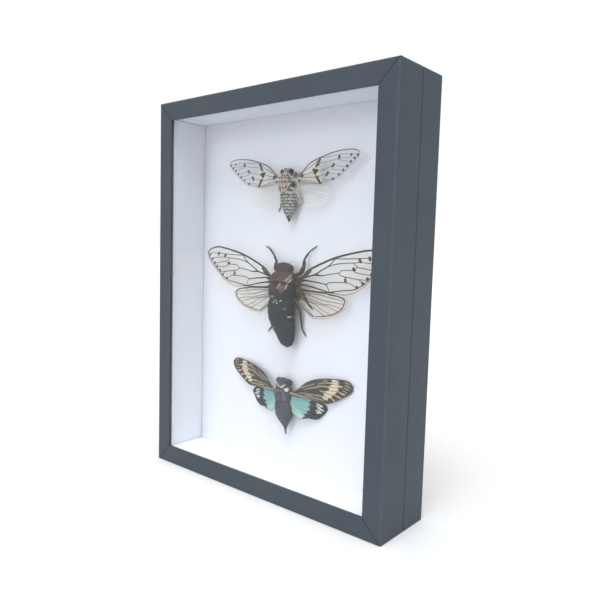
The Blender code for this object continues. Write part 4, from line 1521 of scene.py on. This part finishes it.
def white_cicada() -> Cicada:
    """The small cream cicada with black spots and glassy wings.

    Returns:
        The insect, with its sizes and finishes.
    """
    forewing = Wing(
        name="forewing",
        front=((3, -6.5), (9, -5.9), (14.5, -0.6), (20, 2.6), (31, 5.9), (39.5, 7.3), (46, 7.5),
               (50.8, 6.8), (53.2, 5.0)),
        rear=((3, -10), (12, -10.4), (22, -11.4), (30, -11.4), (39, -8.5), (46.5, -3.2), (52.4, 2.2),
              (53.2, 5.0)),
        root=5.6, height=6.35, droop=0.4, arch=0.5, pleats=0.0, rim=(0.5, 0.12, 0.0, 0.6),
        veins=rays(
            0.19, 0.13, (0.04, 0.2),
            ((24.7, 4.0), (30, 4.2), (35.2, 4.7), (41.1, 5.0), (46.5, 4.8), (52.6, 4.4)),
            ((22.8, 0.8), (29.3, 1.5), (33.3, 1.9), (37.3, 2.6), (40.4, 2.9), (44, 2.8), (51.3, 2.2)),
            ((37.3, 2.6), (40.5, 1.6), (44, 0.9), (49.0, 0.0)),
            ((22.4, -3.6), (26.7, -3.2), (29.9, -2.6), (33.1, -1.4), (35, -0.8), (39, -1.6), (46.2, -2.4)),
            ((33.1, -1.4), (34, -2.8), (37, -3.6), (43.8, -4.6)),
            ((22.4, -7.2), (26, -6.4), (30.6, -5.8), (35, -5.8), (41.0, -6.8)),
            ((25.4, -11.2), (28, -9.2), (31, -8.6), (36.4, -9.2)),
            ((24.6, -11.0), (30, -10.1), (38.2, -7.6), (45.4, -2.6), (51.0, 2.2), (52.0, 4.6)),
        ) + rays(
            0.28, 0.19, (0.0, 0.08),
            ((8.6, -4.6), (14.1, -2.5), (17.4, -1.0), (20.8, 0.8), (24.6, 4.0)),
            ((9.8, -6.0), (15, -5.0), (21, -3.9)),
            ((10, -6.6), (16, -7.0), (22.4, -7.2)),
            ((8, -9.0), (14.4, -10.3), (19.5, -10.9), (24.5, -11.1)),
            ((7.8, -8.0), (12.6, -8.7), (17.8, -9.7), (22.8, -10.6)),
        ),
        markings=(
            Marking(Channel.GLOW, ((3, -5), (14, 0), (24, 4.5), (25.4, -2), (27, -12), (12, -12),
                                   (2, -11)), 0.0, 4.0, area=True),
            Marking(Channel.MARK, ((24.8, 3.0), (23.4, 1.3), (22.2, -0.9)), 0.72, 0.5),
            Marking(Channel.MARK, ((22.9, 0.3), (24.3, 0.0)), 0.4, 0.4),
            Marking(Channel.MARK, ((19.9, -2.6), (23.4, -3.2), (21.4, -5.2)), 0.6, 0.5, area=True),
            Marking(Channel.MARK, ((22.4, -6.9), (24.0, -8.9), (25.5, -11.3)), 0.75, 0.5),
            Marking(Channel.MARK, ((22.4, -6.9), (24.2, -7.0)), 0.45, 0.45),
        )
        + spots(Channel.MARK, 0.8, (51.9, 3.9), (49.7, 2.3), (47.1, 0.4), (44.6, -1.9), (41.9, -4.1),
                (38.8, -6.4), (34.5, -8.8), (47.3, 4.4))
        + spots(Channel.MARK, 1.25, (11.4, -5.9))
        + spots(Channel.MARK, 0.85, (9.4, -8.8))
        + strokes(Channel.MARK, 0.82, ((38.9, 3.9), (38.7, 3.3)), ((35.1, -0.5), (34.4, -1.3)),
                  ((31.0, -5.0), (30.0, -6.4))),
    )
    hindwing = Wing(
        name="hindwing",
        front=((3, -10), (12, -11.2), (24, -11.6), (30, -12.6), (32.8, -16.2)),
        rear=((4, -19), (11, -23.6), (18, -25.2), (25, -24.5), (30.5, -21), (32.8, -16.2)),
        root=5.6, height=5.5, droop=0.4, arch=0.4, pleats=0.14, rim=(0.08, 0.05, 0.9, 1.0),
        veins=rays(
            0.2, 0.14, (0.75, 1.0),
            ((7, -11.6), (16, -12.6), (24, -13.5), (31.4, -14.6)),
            ((7, -12.2), (15, -14.2), (24, -16.2), (31.6, -18.0)),
            ((7, -12.8), (13.3, -15.7), (22, -19.2), (29.8, -21.8)),
            ((6.8, -13.4), (12, -17), (18, -21), (24.6, -24.2)),
            ((6.4, -14), (10.6, -18.4), (14.6, -21.6), (18.2, -24.8)),
            ((6, -14.8), (8.6, -18.8), (11.6, -23.0)),
            ((14, -11.4), (24, -12.6), (30.4, -14.0), (31.6, -16.4), (29.4, -20.4), (24.6, -23.5),
             (18, -24.2), (12, -22.8)),
        ),
        markings=(Marking(Channel.GLOW, ((3, -11), (12, -14), (18, -18)), 2.0, 12.0),),
        rows=120, columns=60,
    )
    body = Body(
        start=0.2, length=34, thorax=17, half_width=6.8, half_height=4.1, middle=5.6, abdomen=5.9,
        spine=((0, -1.65), (6, -1.35), (12, -1.0), (20, -0.4), (25, 0.1), (28.6, 0.2), (34, 0.35)),
        taper=((0, 0.98), (0.2, 1.0), (0.47, 0.86), (0.68, 0.58), (0.82, 0.34), (0.92, 0.17), (1, 0.04)),
        bands=0.88, segments=9,
        relief=(
            Ridge(((-5, -8.1), (0, -7.7), (5, -8.1)), 0.45, 0.6, 0.3),
            Ridge(((-4.8, -7.3), (0, -6.9), (4.8, -7.3)), 0.1, 0.4, -0.3),
            Ridge(((-5.0, -9.1), (0, -8.7), (5.0, -9.1)), 0.12, 0.4, -0.3),
            *both_sides(Ridge(((-1.1, -4.6), (-3.8, -6.4)), 0.15, 0.6, -0.28)),
            Ridge(((-2.2, -13.6), (0, -14.9), (2.2, -13.6)), 0.28, 0.5, 0.5),
            Ridge(((-2.2, -16.2), (0, -14.9), (2.2, -16.2)), 0.28, 0.5, 0.5),
        ),
        markings=(
            Marking(Channel.GLOW, ((-3, -4), (3, -4), (4.5, -8), (3, -13), (-3, -13), (-4.5, -8)), 0.0,
                    2.0, area=True, strength=0.7),
            Marking(Channel.MARK, ((-4.8, -7.15), (-2.6, -6.85), (2.4, -6.9), (4.8, -7.15)), 0.3, 0.4,
                    strength=0.9),
            Marking(Channel.MARK, ((-5.0, -9.0), (0, -8.75), (5.0, -9.0)), 0.12, 0.35, strength=0.7),
            *both_sides(Marking(Channel.MARK, ((-2.0, -4.4), (-1.1, -6.6)), 0.32, 0.4)),
            *both_sides(Marking(Channel.MARK, ((-5.2, -11.0), (-4.0, -13.0), (-3.0, -14.6)), 0.48, 0.4)),
            *both_sides(Marking(Channel.MARK, ((-6.0, -9.6), (-5.9, -11.9)), 0.8, 0.8)),
            Marking(Channel.MARK, ((-4.2, -17.1), (-3.1, -17.6), (-1.4, -17.0), (0, -17.5), (1.4, -17.0),
                                   (3.1, -17.7), (4.2, -17.1)), 0.34, 0.4),
            Marking(Channel.MARK, ((3.6, -7.5), (4.4, -8.0), (5.4, -7.4)), 0.28, 0.4),
        )
        + spots(Channel.MARK, 0.75, (0.0, -1.4), (-1.9, -2.6), (1.9, -2.6), soft=0.8)
        + strokes(Channel.MARK, 0.42, ((-3.0, -0.5), (-1.4, -0.25)), ((1.4, -0.25), (3.0, -0.5)), soft=0.5)
        + spots(Channel.MARK, 0.6, (3.1, -3.9), (-3.1, -3.9), (4.6, -5.1), (-4.6, -5.1), (2.6, -5.4),
                (-2.6, -5.4), (3.5, -6.3), (0, -5.2), soft=0.4)
        + spots(Channel.MARK, 0.72, (-1.3, -9.6), (1.6, -9.5), (-4.3, -9.2), (4.3, -9.2), (-0.1, -13.0),
                (0, -15.9), (4.6, -14.4), (-4.6, -14.4), soft=0.4)
        + strokes(Channel.MARK, 0.6, ((2.3, -12.1), (2.1, -13.0)), ((-2.5, -12.5), (-2.8, -13.3)), soft=0.4)
        + strokes(Channel.MARK, 0.22, ((-3.3, -9.6), (-3.0, -11.2), (-2.0, -12.2)),
                  ((3.3, -9.6), (3.0, -11.2), (2.0, -12.2)), ((-0.5, -9.4), (-0.7, -11.4)),
                  ((0.7, -9.4), (0.7, -11.4)), soft=0.35)
        + spots(Channel.MARK, 0.62, (-2.4, -18.9), (-2.3, -21.0), (-2.4, -23.2), (2.4, -18.9),
                (2.4, -21.0), (3.4, -23.1), soft=0.6)
        + spots(Channel.MARK, 0.55, (-0.9, -19.9), (0.7, -22.0), (-0.9, -24.2), (0.6, -25.9),
                (-1.4, -27.4), soft=0.5)
        + (
            Marking(Channel.MARK, ((0.3, -31.0), (0.3, -34)), 0.9, 0.8),
            Marking(Channel.MARK, ((-6, -17.5), (6, -17.5), (5, -34), (-5, -34)), 0.0, 2.0, area=True,
                    strength=0.1),
        ),
    )
    legs = (
        *both_sides(Leg(((-2, -5, 4, 0.7), (-3.6, -4.8, 3.2, 0.7), (-2.6, -3.4, 1.6, 0.5),
                         (-1.2, -2.8, 0.8, 0.33)))),
        *both_sides(Leg(((-3, -11, 4, 0.7), (-6.2, -13, 2.6, 0.6), (-6.0, -17, 1.4, 0.42),
                         (-7.2, -19.4, 0.8, 0.3)), 2)),
        Leg(((-3, -15, 4, 0.7), (-8, -18.4, 2.8, 0.6), (-10.5, -24.6, 1.3, 0.42),
             (-12.4, -26.6, 0.8, 0.3)), 4),
        Leg(((3, -15, 4, 0.7), (6.4, -18.8, 3.6, 0.85), (7.5, -21.6, 1.6, 0.5), (6.4, -23.2, 0.8, 0.3)), 4),
    )
    return Cicada(
        name="cicada_white", slot="white_insect", across=2.05, head_level=204.5, right_turn=0.0,
        body=body, head=Head(eye=1.6, reach=5.1, across=-1.6, down=2.6, middle=5.9, top=7.8),
        forewing=forewing, hindwing=hindwing, legs=legs,
        skin=Chitin(
            "white_skin", ground=(0.55, 0.53, 0.5), shade=(0.32, 0.3, 0.28),
            glow=(0.56, 0.44, 0.29), pale=(0.75, 0.73, 0.68), mark=(0.01, 0.01, 0.012), roughness=0.55,
        ),
        horn=Horn("white_horn", (0.05, 0.037, 0.03), (0.88, 0.87, 0.81), 0.45),
        lens=Horn("white_eyes", (0.022, 0.018, 0.018), (0.16, 0.06, 0.04), 0.22),
        fore_film=Film(
            "white_forewing_film", clear=(0.62, 0.58, 0.57, 0.055), glow=(0.94, 0.81, 0.66, 0.24),
            mark=(0.014, 0.012, 0.013, 0.92), pale=(0.9, 0.88, 0.8, 0.6),
        ),
        hind_film=Film(
            "white_hindwing_film", clear=(0.97, 0.95, 0.89, 0.11), glow=(0.86, 0.91, 0.8, 0.17),
            mark=(0.014, 0.012, 0.013, 0.96), pale=(0.9, 0.88, 0.8, 0.6),
        ),
    )


def turquoise_cicada() -> Cicada:
    """The small slate-black cicada with brown and cream forewings and turquoise hindwings.

    Returns:
        The insect, with its sizes and finishes.
    """
    band = ((35.8, 3.9), (36.6, 2.4), (35.4, 1.6), (36.8, 0.8), (35.2, -0.4), (36.2, -1.2), (34.4, -2.2),
            (35.0, -3.2), (32.6, -4.0), (33.0, -5.2), (30.8, -6.2), (31.6, -7.4), (29.6, -8.6),
            (31.6, -9.8), (33.6, -9.9), (36.0, -8.4), (36.2, -7.2), (38.4, -6.2), (38.4, -5.0),
            (40.2, -4.0), (39.8, -2.8), (41.4, -1.9), (40.6, -0.6), (42.0, 0.6), (40.8, 1.6), (41.4, 2.6),
            (39.8, 3.6))
    forewing = Wing(
        name="forewing",
        front=((4, -9.6), (9.6, -9), (13, -6.3), (18, -1.8), (24.5, 1.2), (32, 3.1), (43.5, 4.3),
               (48, 3.7), (51, 1.6)),
        rear=((4, -12), (18.5, -11.6), (32, -12.1), (37, -10.7), (42, -8), (47.2, -4.6), (50.4, -1.5),
              (51, 1.6)),
        root=6.8, height=6.05, droop=5.0, arch=0.5, pleats=0.0, rim=(0.5, 0.2, 0.0, 0.0),
        veins=rays(
            0.2, 0.14, (0.0, 0.08),
            ((9.6, -8.6), (14, -6.4), (19, -3.8), (24, -1.4), (27.6, 1.2)),
            ((27.6, 0.6), (33, 1.4), (39, 2.0), (45, 2.6), (49.6, 2.3)),
            ((22, -2.9), (27, -1.2), (32, 0.2), (38, 0.6), (44, 1.0), (50.0, 0.3)),
            ((12, -7.9), (16, -6.6), (20, -5.4), (26, -3.6), (31, -2.6), (37, -1.4), (43, -1.0),
             (49.2, -1.8)),
            ((26, -3.6), (30, -4.2), (36, -3.6), (42, -3.2), (47.4, -4.0)),
            ((30, -4.2), (34, -6.0), (39, -5.6), (44.4, -6.1)),
            ((9, -9.0), (16, -8.2), (22, -7.6), (28, -7.2), (34, -8.4), (40.4, -8.4)),
            ((22, -7.6), (27, -9.2), (34.5, -11.0)),
            ((7.5, -10.0), (14, -10.2), (20, -10.9), (27, -11.5)),
        ),
        markings=(
            Marking(Channel.PALE, band, 0.0, 0.5, area=True),
            Marking(Channel.GLOW, ((5, -10.2), (14, -10.6), (21, -11.6), (29, -12.6)), 0.75, 0.6),
        )
        + strokes(Channel.PALE, 0.42, ((40.5, -2.9), (45.2, -4.3)), ((38.4, -5.4), (42.6, -7.0)),
                  ((35.8, -7.2), (38.6, -9.6)), ((41, 0.2), (43.6, 0.0)), soft=0.6)
        + strokes(Channel.PALE, 0.25, ((33.4, 0.9), (36.6, 1.4)), ((33, -1.6), (35.8, -1.2)),
                  ((30.6, -5.2), (33, -4.4)), soft=0.4)
        + strokes(Channel.GLOW, 0.4, ((12, -6.5), (17.7, -4.1), (24, -1.5)), ((26.9, -0.9), (29.4, -0.1),
                                                                              (33, 0.7)),
                  ((26.6, -2.3), (30.3, -1.7), (35, -1.2)), ((17, -6.2), (22, -4.3), (26.6, -3.0)),
                  ((28.7, -4.9), (32, -5.1), (34.5, -4.8)), ((20, -8.5), (25, -8.3), (30, -8.0)),
                  ((18, -9.5), (24, -10.2), (31, -10.4)), soft=0.4)
        + strokes(Channel.GLOW, 0.3, ((45.6, 3.2), (48.4, 2.6)), ((45.8, 1.6), (48.8, 1.0)),
                  ((45.2, -0.2), (48.2, -0.7)), ((44.4, -2.0), (46.8, -2.8)), ((30.4, 1.8), (34, 2.2)),
                  ((14, -8.9), (19, -8.1)), soft=0.5)
        + tuple(
            Marking(Channel.PALE, (spot,), 0.9, 0.5, cut=True)
            for spot in ((43.0, -2.4), (40.6, -4.8), (37.6, -7.1), (34.9, -8.9), (43.8, -0.9))
        )
        + spots(Channel.MARK, 0.9, (43.0, -2.4), (40.6, -4.8), (37.6, -7.1), (34.9, -8.9), (34.2, 2.2),
                (33.6, -0.4), (43.6, 2.6), soft=0.8),
    )
    hindwing = Wing(
        name="hindwing",
        front=((4, -12), (12, -12.2), (20, -12.4), (26, -12.6), (30.5, -14.1), (32.3, -16.6)),
        rear=((4, -20), (9.5, -24.6), (14, -25.8), (19, -24.6), (25, -24.2), (29.5, -20.5), (32.3, -16.6)),
        root=6.8, height=5.3, droop=5.0, arch=0.4, pleats=0.13, rim=(0.2, 0.12, 0.0, 0.0),
        veins=rays(
            0.11, 0.08, (0.0, 0.0),
            ((16, -13.3), (22, -13.8), (30.8, -15.0)),
            ((16, -14.9), (22, -16.0), (31.4, -17.4)),
            ((15, -16.9), (21, -18.8), (29.2, -20.6)),
            ((14, -19.0), (18, -21.0), (25.6, -23.6)),
        ) + rays(
            0.1, 0.07, (0.9, 0.7),
            ((7, -12.8), (16, -13.3)),
            ((7, -13.4), (16, -14.9)),
            ((7, -14), (15, -16.9)),
            ((7, -14.6), (14, -19.0)),
            ((6.6, -15.2), (10.6, -19.4), (14.6, -22.6), (18.6, -24.4)),
            ((6.2, -16), (9, -20.4), (12.4, -25.0)),
        ),
        markings=(
            Marking(Channel.GLOW, ((5, -18), (10, -23), (16, -25), (19, -22)), 2.2, 4.5, strength=0.95),
            Marking(Channel.GLOW, ((18.8, -12.6), (18.0, -15.5), (18.4, -18.5), (17.2, -21)), 0.5, 1.6,
                    strength=0.7),
            Marking(Channel.MARK, ((21.0, -12), (20.2, -13.4), (18.2, -13.9), (20.2, -14.8), (20.0, -16.4),
                                   (18.0, -17.0), (20.2, -18.0), (19.6, -19.6), (17.2, -19.8),
                                   (18.4, -21.4), (16.0, -22.2), (15.0, -22.6), (16.6, -23.6),
                                   (14.4, -25.2), (18, -27), (34, -26), (34, -11)), 0.0, 0.5, area=True),
        )
        + strokes(Channel.PALE, 0.5, ((25.0, -14.2), (28.4, -15.3)), ((25.8, -16.9), (29.2, -17.7)),
                  ((25.2, -19.9), (27.6, -19.3)), soft=0.5)
        + strokes(Channel.PALE, 0.32, ((24.6, -15.6), (27.4, -16.4)), ((24.2, -18.6), (26.6, -18.6)),
                  soft=0.4),
        rows=120, columns=60,
    )
    body = Body(
        start=1.3, length=35.4, thorax=18, half_width=7.1, half_height=4.4, middle=5.6, abdomen=6.95,
        spine=((0, -0.25), (10, -0.25), (20, 0.35), (24, 0.6), (30, 0.95), (33, 1.6), (35.4, 2.1)),
        taper=((0, 0.97), (0.25, 1.0), (0.42, 0.97), (0.56, 0.82), (0.72, 0.54), (0.86, 0.27),
               (0.94, 0.17), (1, 0.08)),
        bands=0.0,
        relief=(
            Ridge(((-5.6, -9.9), (0, -9.0), (5.6, -9.9)), 0.3, 0.7, 0.35),
            Ridge(((-5, -10.8), (0, -9.9), (5, -10.8)), 0.15, 0.5, -0.3),
            *both_sides(Ridge(((-1.2, -6.2), (-4.4, -8.4)), 0.15, 0.6, -0.28)),
            Ridge(((0, -1.6), (0, -4.4)), 0.12, 0.5, -0.25),
            Ridge(((-2.3, -14.8), (0, -15.9), (2.3, -14.8)), 0.28, 0.5, 0.45),
            Ridge(((-2.3, -17.2), (0, -15.9), (2.3, -17.2)), 0.28, 0.5, 0.45),
        ),
        markings=(
            Marking(Channel.PALE, ((-4.0, -6.2), (-4.4, -8.0)), 0.26, 0.4, strength=0.85),
            Marking(Channel.PALE, ((-0.4, -6.8), (-1.9, -6.3), (-2.9, -5.4)), 0.32, 0.5, strength=0.8),
            Marking(Channel.PALE, ((0.3, -6.9), (2.0, -6.2), (2.9, -5.1), (2.6, -6.6), (1.6, -7.3)), 0.15,
                    0.5, area=True),
            Marking(Channel.PALE, ((3.5, -7.8), (5.3, -7.3), (5.9, -8.2), (5.6, -9.3), (4.6, -8.9)), 0.15,
                    0.5, area=True),
            Marking(Channel.PALE, ((-3.5, -7.8), (-5.3, -7.3), (-5.7, -9.0), (-4.6, -8.9)), 0.1, 0.5,
                    area=True, strength=0.8),
            # The lilac stripe across the collar and the lilac patches behind it: painted sheen.
            Marking(Channel.GLOW, ((-3.6, -10.4), (-0.4, -9.1), (2.1, -9.6), (3.7, -10.9)), 0.34, 0.7),
            Marking(Channel.GLOW, ((4.1, -13.0), (4.1, -14.4)), 0.9, 1.6, strength=0.5),
            Marking(Channel.GLOW, ((-4.1, -13.0), (-4.1, -14.4)), 0.9, 1.6, strength=0.4),
        )
        + spots(Channel.PALE, 0.28, (-0.3, -14.1), soft=0.5),
    )
    legs = (
        *both_sides(Leg(((-2.4, -6, 4, 0.8), (-4.4, -5.6, 3.4, 0.8), (-3.4, -4.2, 1.7, 0.55),
                         (-1.8, -3.8, 0.9, 0.38)))),
        *both_sides(Leg(((-3, -12, 4, 0.8), (-9, -13.4, 3.0, 0.7), (-10.4, -17.2, 1.5, 0.48),
                         (-9.6, -20, 0.9, 0.36)), 2)),
        *both_sides(Leg(((-3, -16, 4, 0.8), (-8.4, -19, 2.8, 0.7), (-7.0, -22.4, 1.4, 0.48),
                         (-5.4, -24, 0.9, 0.36)), 4)),
        Leg(((1.4, -31.5, 5.4, 1.0), (2.0, -35.2, 5.2, 0.75), (2.5, -38.2, 5.0, 0.55)), claws=False,
            swell=0.0),
    )
    return Cicada(
        name="cicada_turquoise", slot="turquoise_insect", across=1.95, head_level=72.7, right_turn=-1.3,
        body=body, head=Head(eye=1.8, reach=5.8, across=-0.25, down=3.6, middle=5.9, top=8.05),
        forewing=forewing, hindwing=hindwing, legs=legs,
        skin=Chitin(
            "turquoise_skin", ground=(0.086, 0.09, 0.107), shade=(0.036, 0.04, 0.052),
            # The lilac glow colour is a painted sheen.
            glow=(0.28, 0.255, 0.4), pale=(0.74, 0.67, 0.48), mark=(0.012, 0.012, 0.014), roughness=0.45,
        ),
        horn=Horn("turquoise_horn", (0.024, 0.019, 0.017), (0.26, 0.46, 0.43), 0.45),
        lens=Horn("turquoise_eyes", (0.032, 0.034, 0.042), (0.1, 0.045, 0.04), 0.22),
        fore_film=Film(
            "turquoise_forewing_film", clear=(0.06, 0.038, 0.023, 0.9), glow=(0.5, 0.41, 0.26, 0.85),
            mark=(0.016, 0.011, 0.009, 0.95), pale=(0.86, 0.71, 0.51, 0.88),
        ),
        hind_film=Film(
            "turquoise_hindwing_film", clear=(0.27, 0.6, 0.6, 0.7), glow=(0.7, 0.88, 0.8, 0.5),
            mark=(0.016, 0.016, 0.02, 0.95), pale=(0.94, 0.92, 0.92, 0.92),
        ),
    )


@dataclass(frozen=True)
class Case:
    """The box frame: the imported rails, glass, white lining, backing and hanger, with their finishes."""

    upright: Lacquer
    level: Lacquer
    card: Card
    board: Card
    backing: Hardboard
    steel: Steel
    glass: Glass

    def dress(self, nodes: dict[str, bpy.types.Object], effects: Effects) -> None:
        """Give every solid of the case its finish.

        Args:
            nodes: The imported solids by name.
            effects: The shared node groups.
        """
        finishes = {
            "rail_left": self.upright, "rail_right": self.upright, "rail_top": self.level,
            "rail_bottom": self.level,
            "liner": self.card, "mount_board": self.board, "backing_board": self.backing,
            "backing_point": self.steel,
            "hanger": self.steel, "glass_pane": self.glass,
        }
        made: dict[str, bpy.types.Material] = {}
        for key, finish in finishes.items():
            for name, node in nodes.items():
                if key in name:
                    if finish.name not in made:
                        made[finish.name] = finish.build(effects)
                    node.data.materials.clear()
                    node.data.materials.append(made[finish.name])
                    LOG.info("%s: %s", name, finish.name)


@dataclass(frozen=True)
class Studio:
    """The camera, a pale floor, a pale surrounding light and soft lamps."""

    place: Triple = (0.25359, -0.28376, 0.1573)
    azimuth: float = 39.9
    tilt_down: float = 5.339
    roll: float = 1.592
    lens: float = 36.153
    light: Colour = (0.94, 0.97, 1.0)
    light_strength: float = 0.77

    def camera(self) -> None:
        """Set up the camera. It looks along f, which is turned left by the azimuth and tilted down,
        and its right is the level cross direction, rolled towards its up."""
        azimuth, tilt, roll = radians(self.azimuth), radians(self.tilt_down), radians(self.roll)
        f = Vector((-sin(azimuth) * cos(tilt), cos(azimuth) * cos(tilt), -sin(tilt)))
        level = f.cross(Vector((0, 0, 1))).normalized()
        right = level * cos(roll) + level.cross(f) * sin(roll)
        data = bpy.data.cameras.new("camera")
        data.lens = self.lens
        data.sensor_width = 36
        data.clip_start = 0.001
        camera = bpy.data.objects.new("camera", data)
        camera.location = self.place
        camera.rotation_euler = Matrix((right, right.cross(f), -f)).transposed().to_euler()
        bpy.context.scene.collection.objects.link(camera)
        bpy.context.scene.camera = camera

    def lamp(self, name: str, toward: Triple, spread: float, strength: float, mirrored: bool) -> None:
        """Add a wide, distant lamp.

        Args:
            name: Its name.
            toward: The direction from the case towards it.
            spread: How wide it looks, in degrees.
            strength: Its light on a face turned to it, in watts for a square metre.
            mirrored: Whether shiny faces show it.
        """
        data = bpy.data.lights.new(name, "SUN")
        data.angle = radians(spread)
        data.energy = strength
        lamp = bpy.data.objects.new(name, data)
        lamp.rotation_euler = Vector(toward).to_track_quat("Z", "Y").to_euler()
        lamp.visible_glossy = mirrored
        bpy.context.scene.collection.objects.link(lamp)

    def floor(self) -> None:
        """Lay a wide floor of matte white, with a faint unevenness in its tone."""
        mesh = bpy.data.meshes.new("floor")
        reach = 6.0
        square = [(-reach, -reach, 0), (reach, -reach, 0), (reach, reach, 0), (-reach, reach, 0)]
        mesh.from_pydata(square, [], [(0, 1, 2, 3)])
        material = bpy.data.materials.new("floor")
        material.use_nodes = True
        nodes = Nodes(material.node_tree)
        shader = material.node_tree.nodes["Principled BSDF"]
        noise = nodes.add("ShaderNodeTexNoise", {"Vector": nodes.place(), "Scale": 3.0})
        colour = nodes.blend(noise.outputs[0], (0.95, 0.95, 0.955), (0.98, 0.98, 0.98))
        nodes.link(colour, shader, "Base Color")
        shader.inputs["Roughness"].default_value = 0.9
        mesh.materials.append(material)
        floor = bpy.data.objects.new("floor", mesh)
        bpy.context.scene.collection.objects.link(floor)

    def surroundings(self) -> None:
        """Surround the scene with white for the camera, and with a softer grey for its light."""
        world = bpy.data.worlds.new("white")
        world.use_nodes = True
        nodes = Nodes(world.node_tree)
        soft = world.node_tree.nodes["Background"]
        soft.inputs["Color"].default_value = (*self.light, 1)
        soft.inputs["Strength"].default_value = self.light_strength
        white = nodes.add("ShaderNodeBackground", {0: (1, 1, 1, 1), 1: 1.0})
        seen = nodes.add("ShaderNodeLightPath").outputs["Is Camera Ray"]
        mix = nodes.add("ShaderNodeMixShader", {0: seen, 1: soft.outputs[0], 2: white.outputs[0]})
        world.node_tree.links.new(mix.outputs[0], world.node_tree.nodes["World Output"].inputs[0])
        bpy.context.scene.world = world

    def build(self) -> None:
        """Set up everything round the case."""
        self.camera()
        self.floor()
        self.surroundings()
        self.lamp("key", (0.16, -0.4, 1.0), 34, 1.4, True)
        self.lamp("front", (-0.15, -1.0, 0.34), 26, 0.4, False)
        bpy.context.scene.view_settings.view_transform = "Standard"
        LOG.info("studio ready")


def corners(box: tuple[Vector, Vector]) -> list[list[float]]:
    """A box's two corners as plain lists."""
    return [list(box[0]), list(box[1])]


def main() -> None:
    """Load the solids, dress the case, build the insects and light them."""
    logging.basicConfig(level=logging.INFO, format="%(message)s")
    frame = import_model()
    effects = Effects()
    slate = {"colour": (0.039, 0.054, 0.069), "speck": (0.07, 0.087, 0.104), "worn": (0.125, 0.142, 0.162)}
    case = Case(
        upright=Lacquer("slate_upright", grain=Grain.UPRIGHT, **slate),
        level=Lacquer("slate_level", grain=Grain.LEVEL, **slate),
        # The lining's card is paler than the board's: painted light that brightens the lining strips in the
        # frame's shade.
        card=Card("liner_card", (0.88, 0.89, 0.94), (0.82, 0.835, 0.89)),
        board=Card("board_card", (0.825, 0.832, 0.9), (0.77, 0.777, 0.845)),
        backing=Hardboard("raw_hardboard", (0.23, 0.14, 0.075), (0.1, 0.055, 0.028), (0.33, 0.22, 0.13)),
        steel=Steel("zinc_steel", (0.62, 0.62, 0.61), (0.36, 0.36, 0.36)),
        glass=Glass("picture_glass", (0.97, 0.985, 0.98)),
    )
    case.dress(frame["nodes"], effects)
    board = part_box("mount_board")[0].y
    for insect in (white_cicada(), dark_cicada(), turquoise_cicada()):
        insect.build(effects, board)
    Studio().build()


if __name__ == "__main__":
    main()
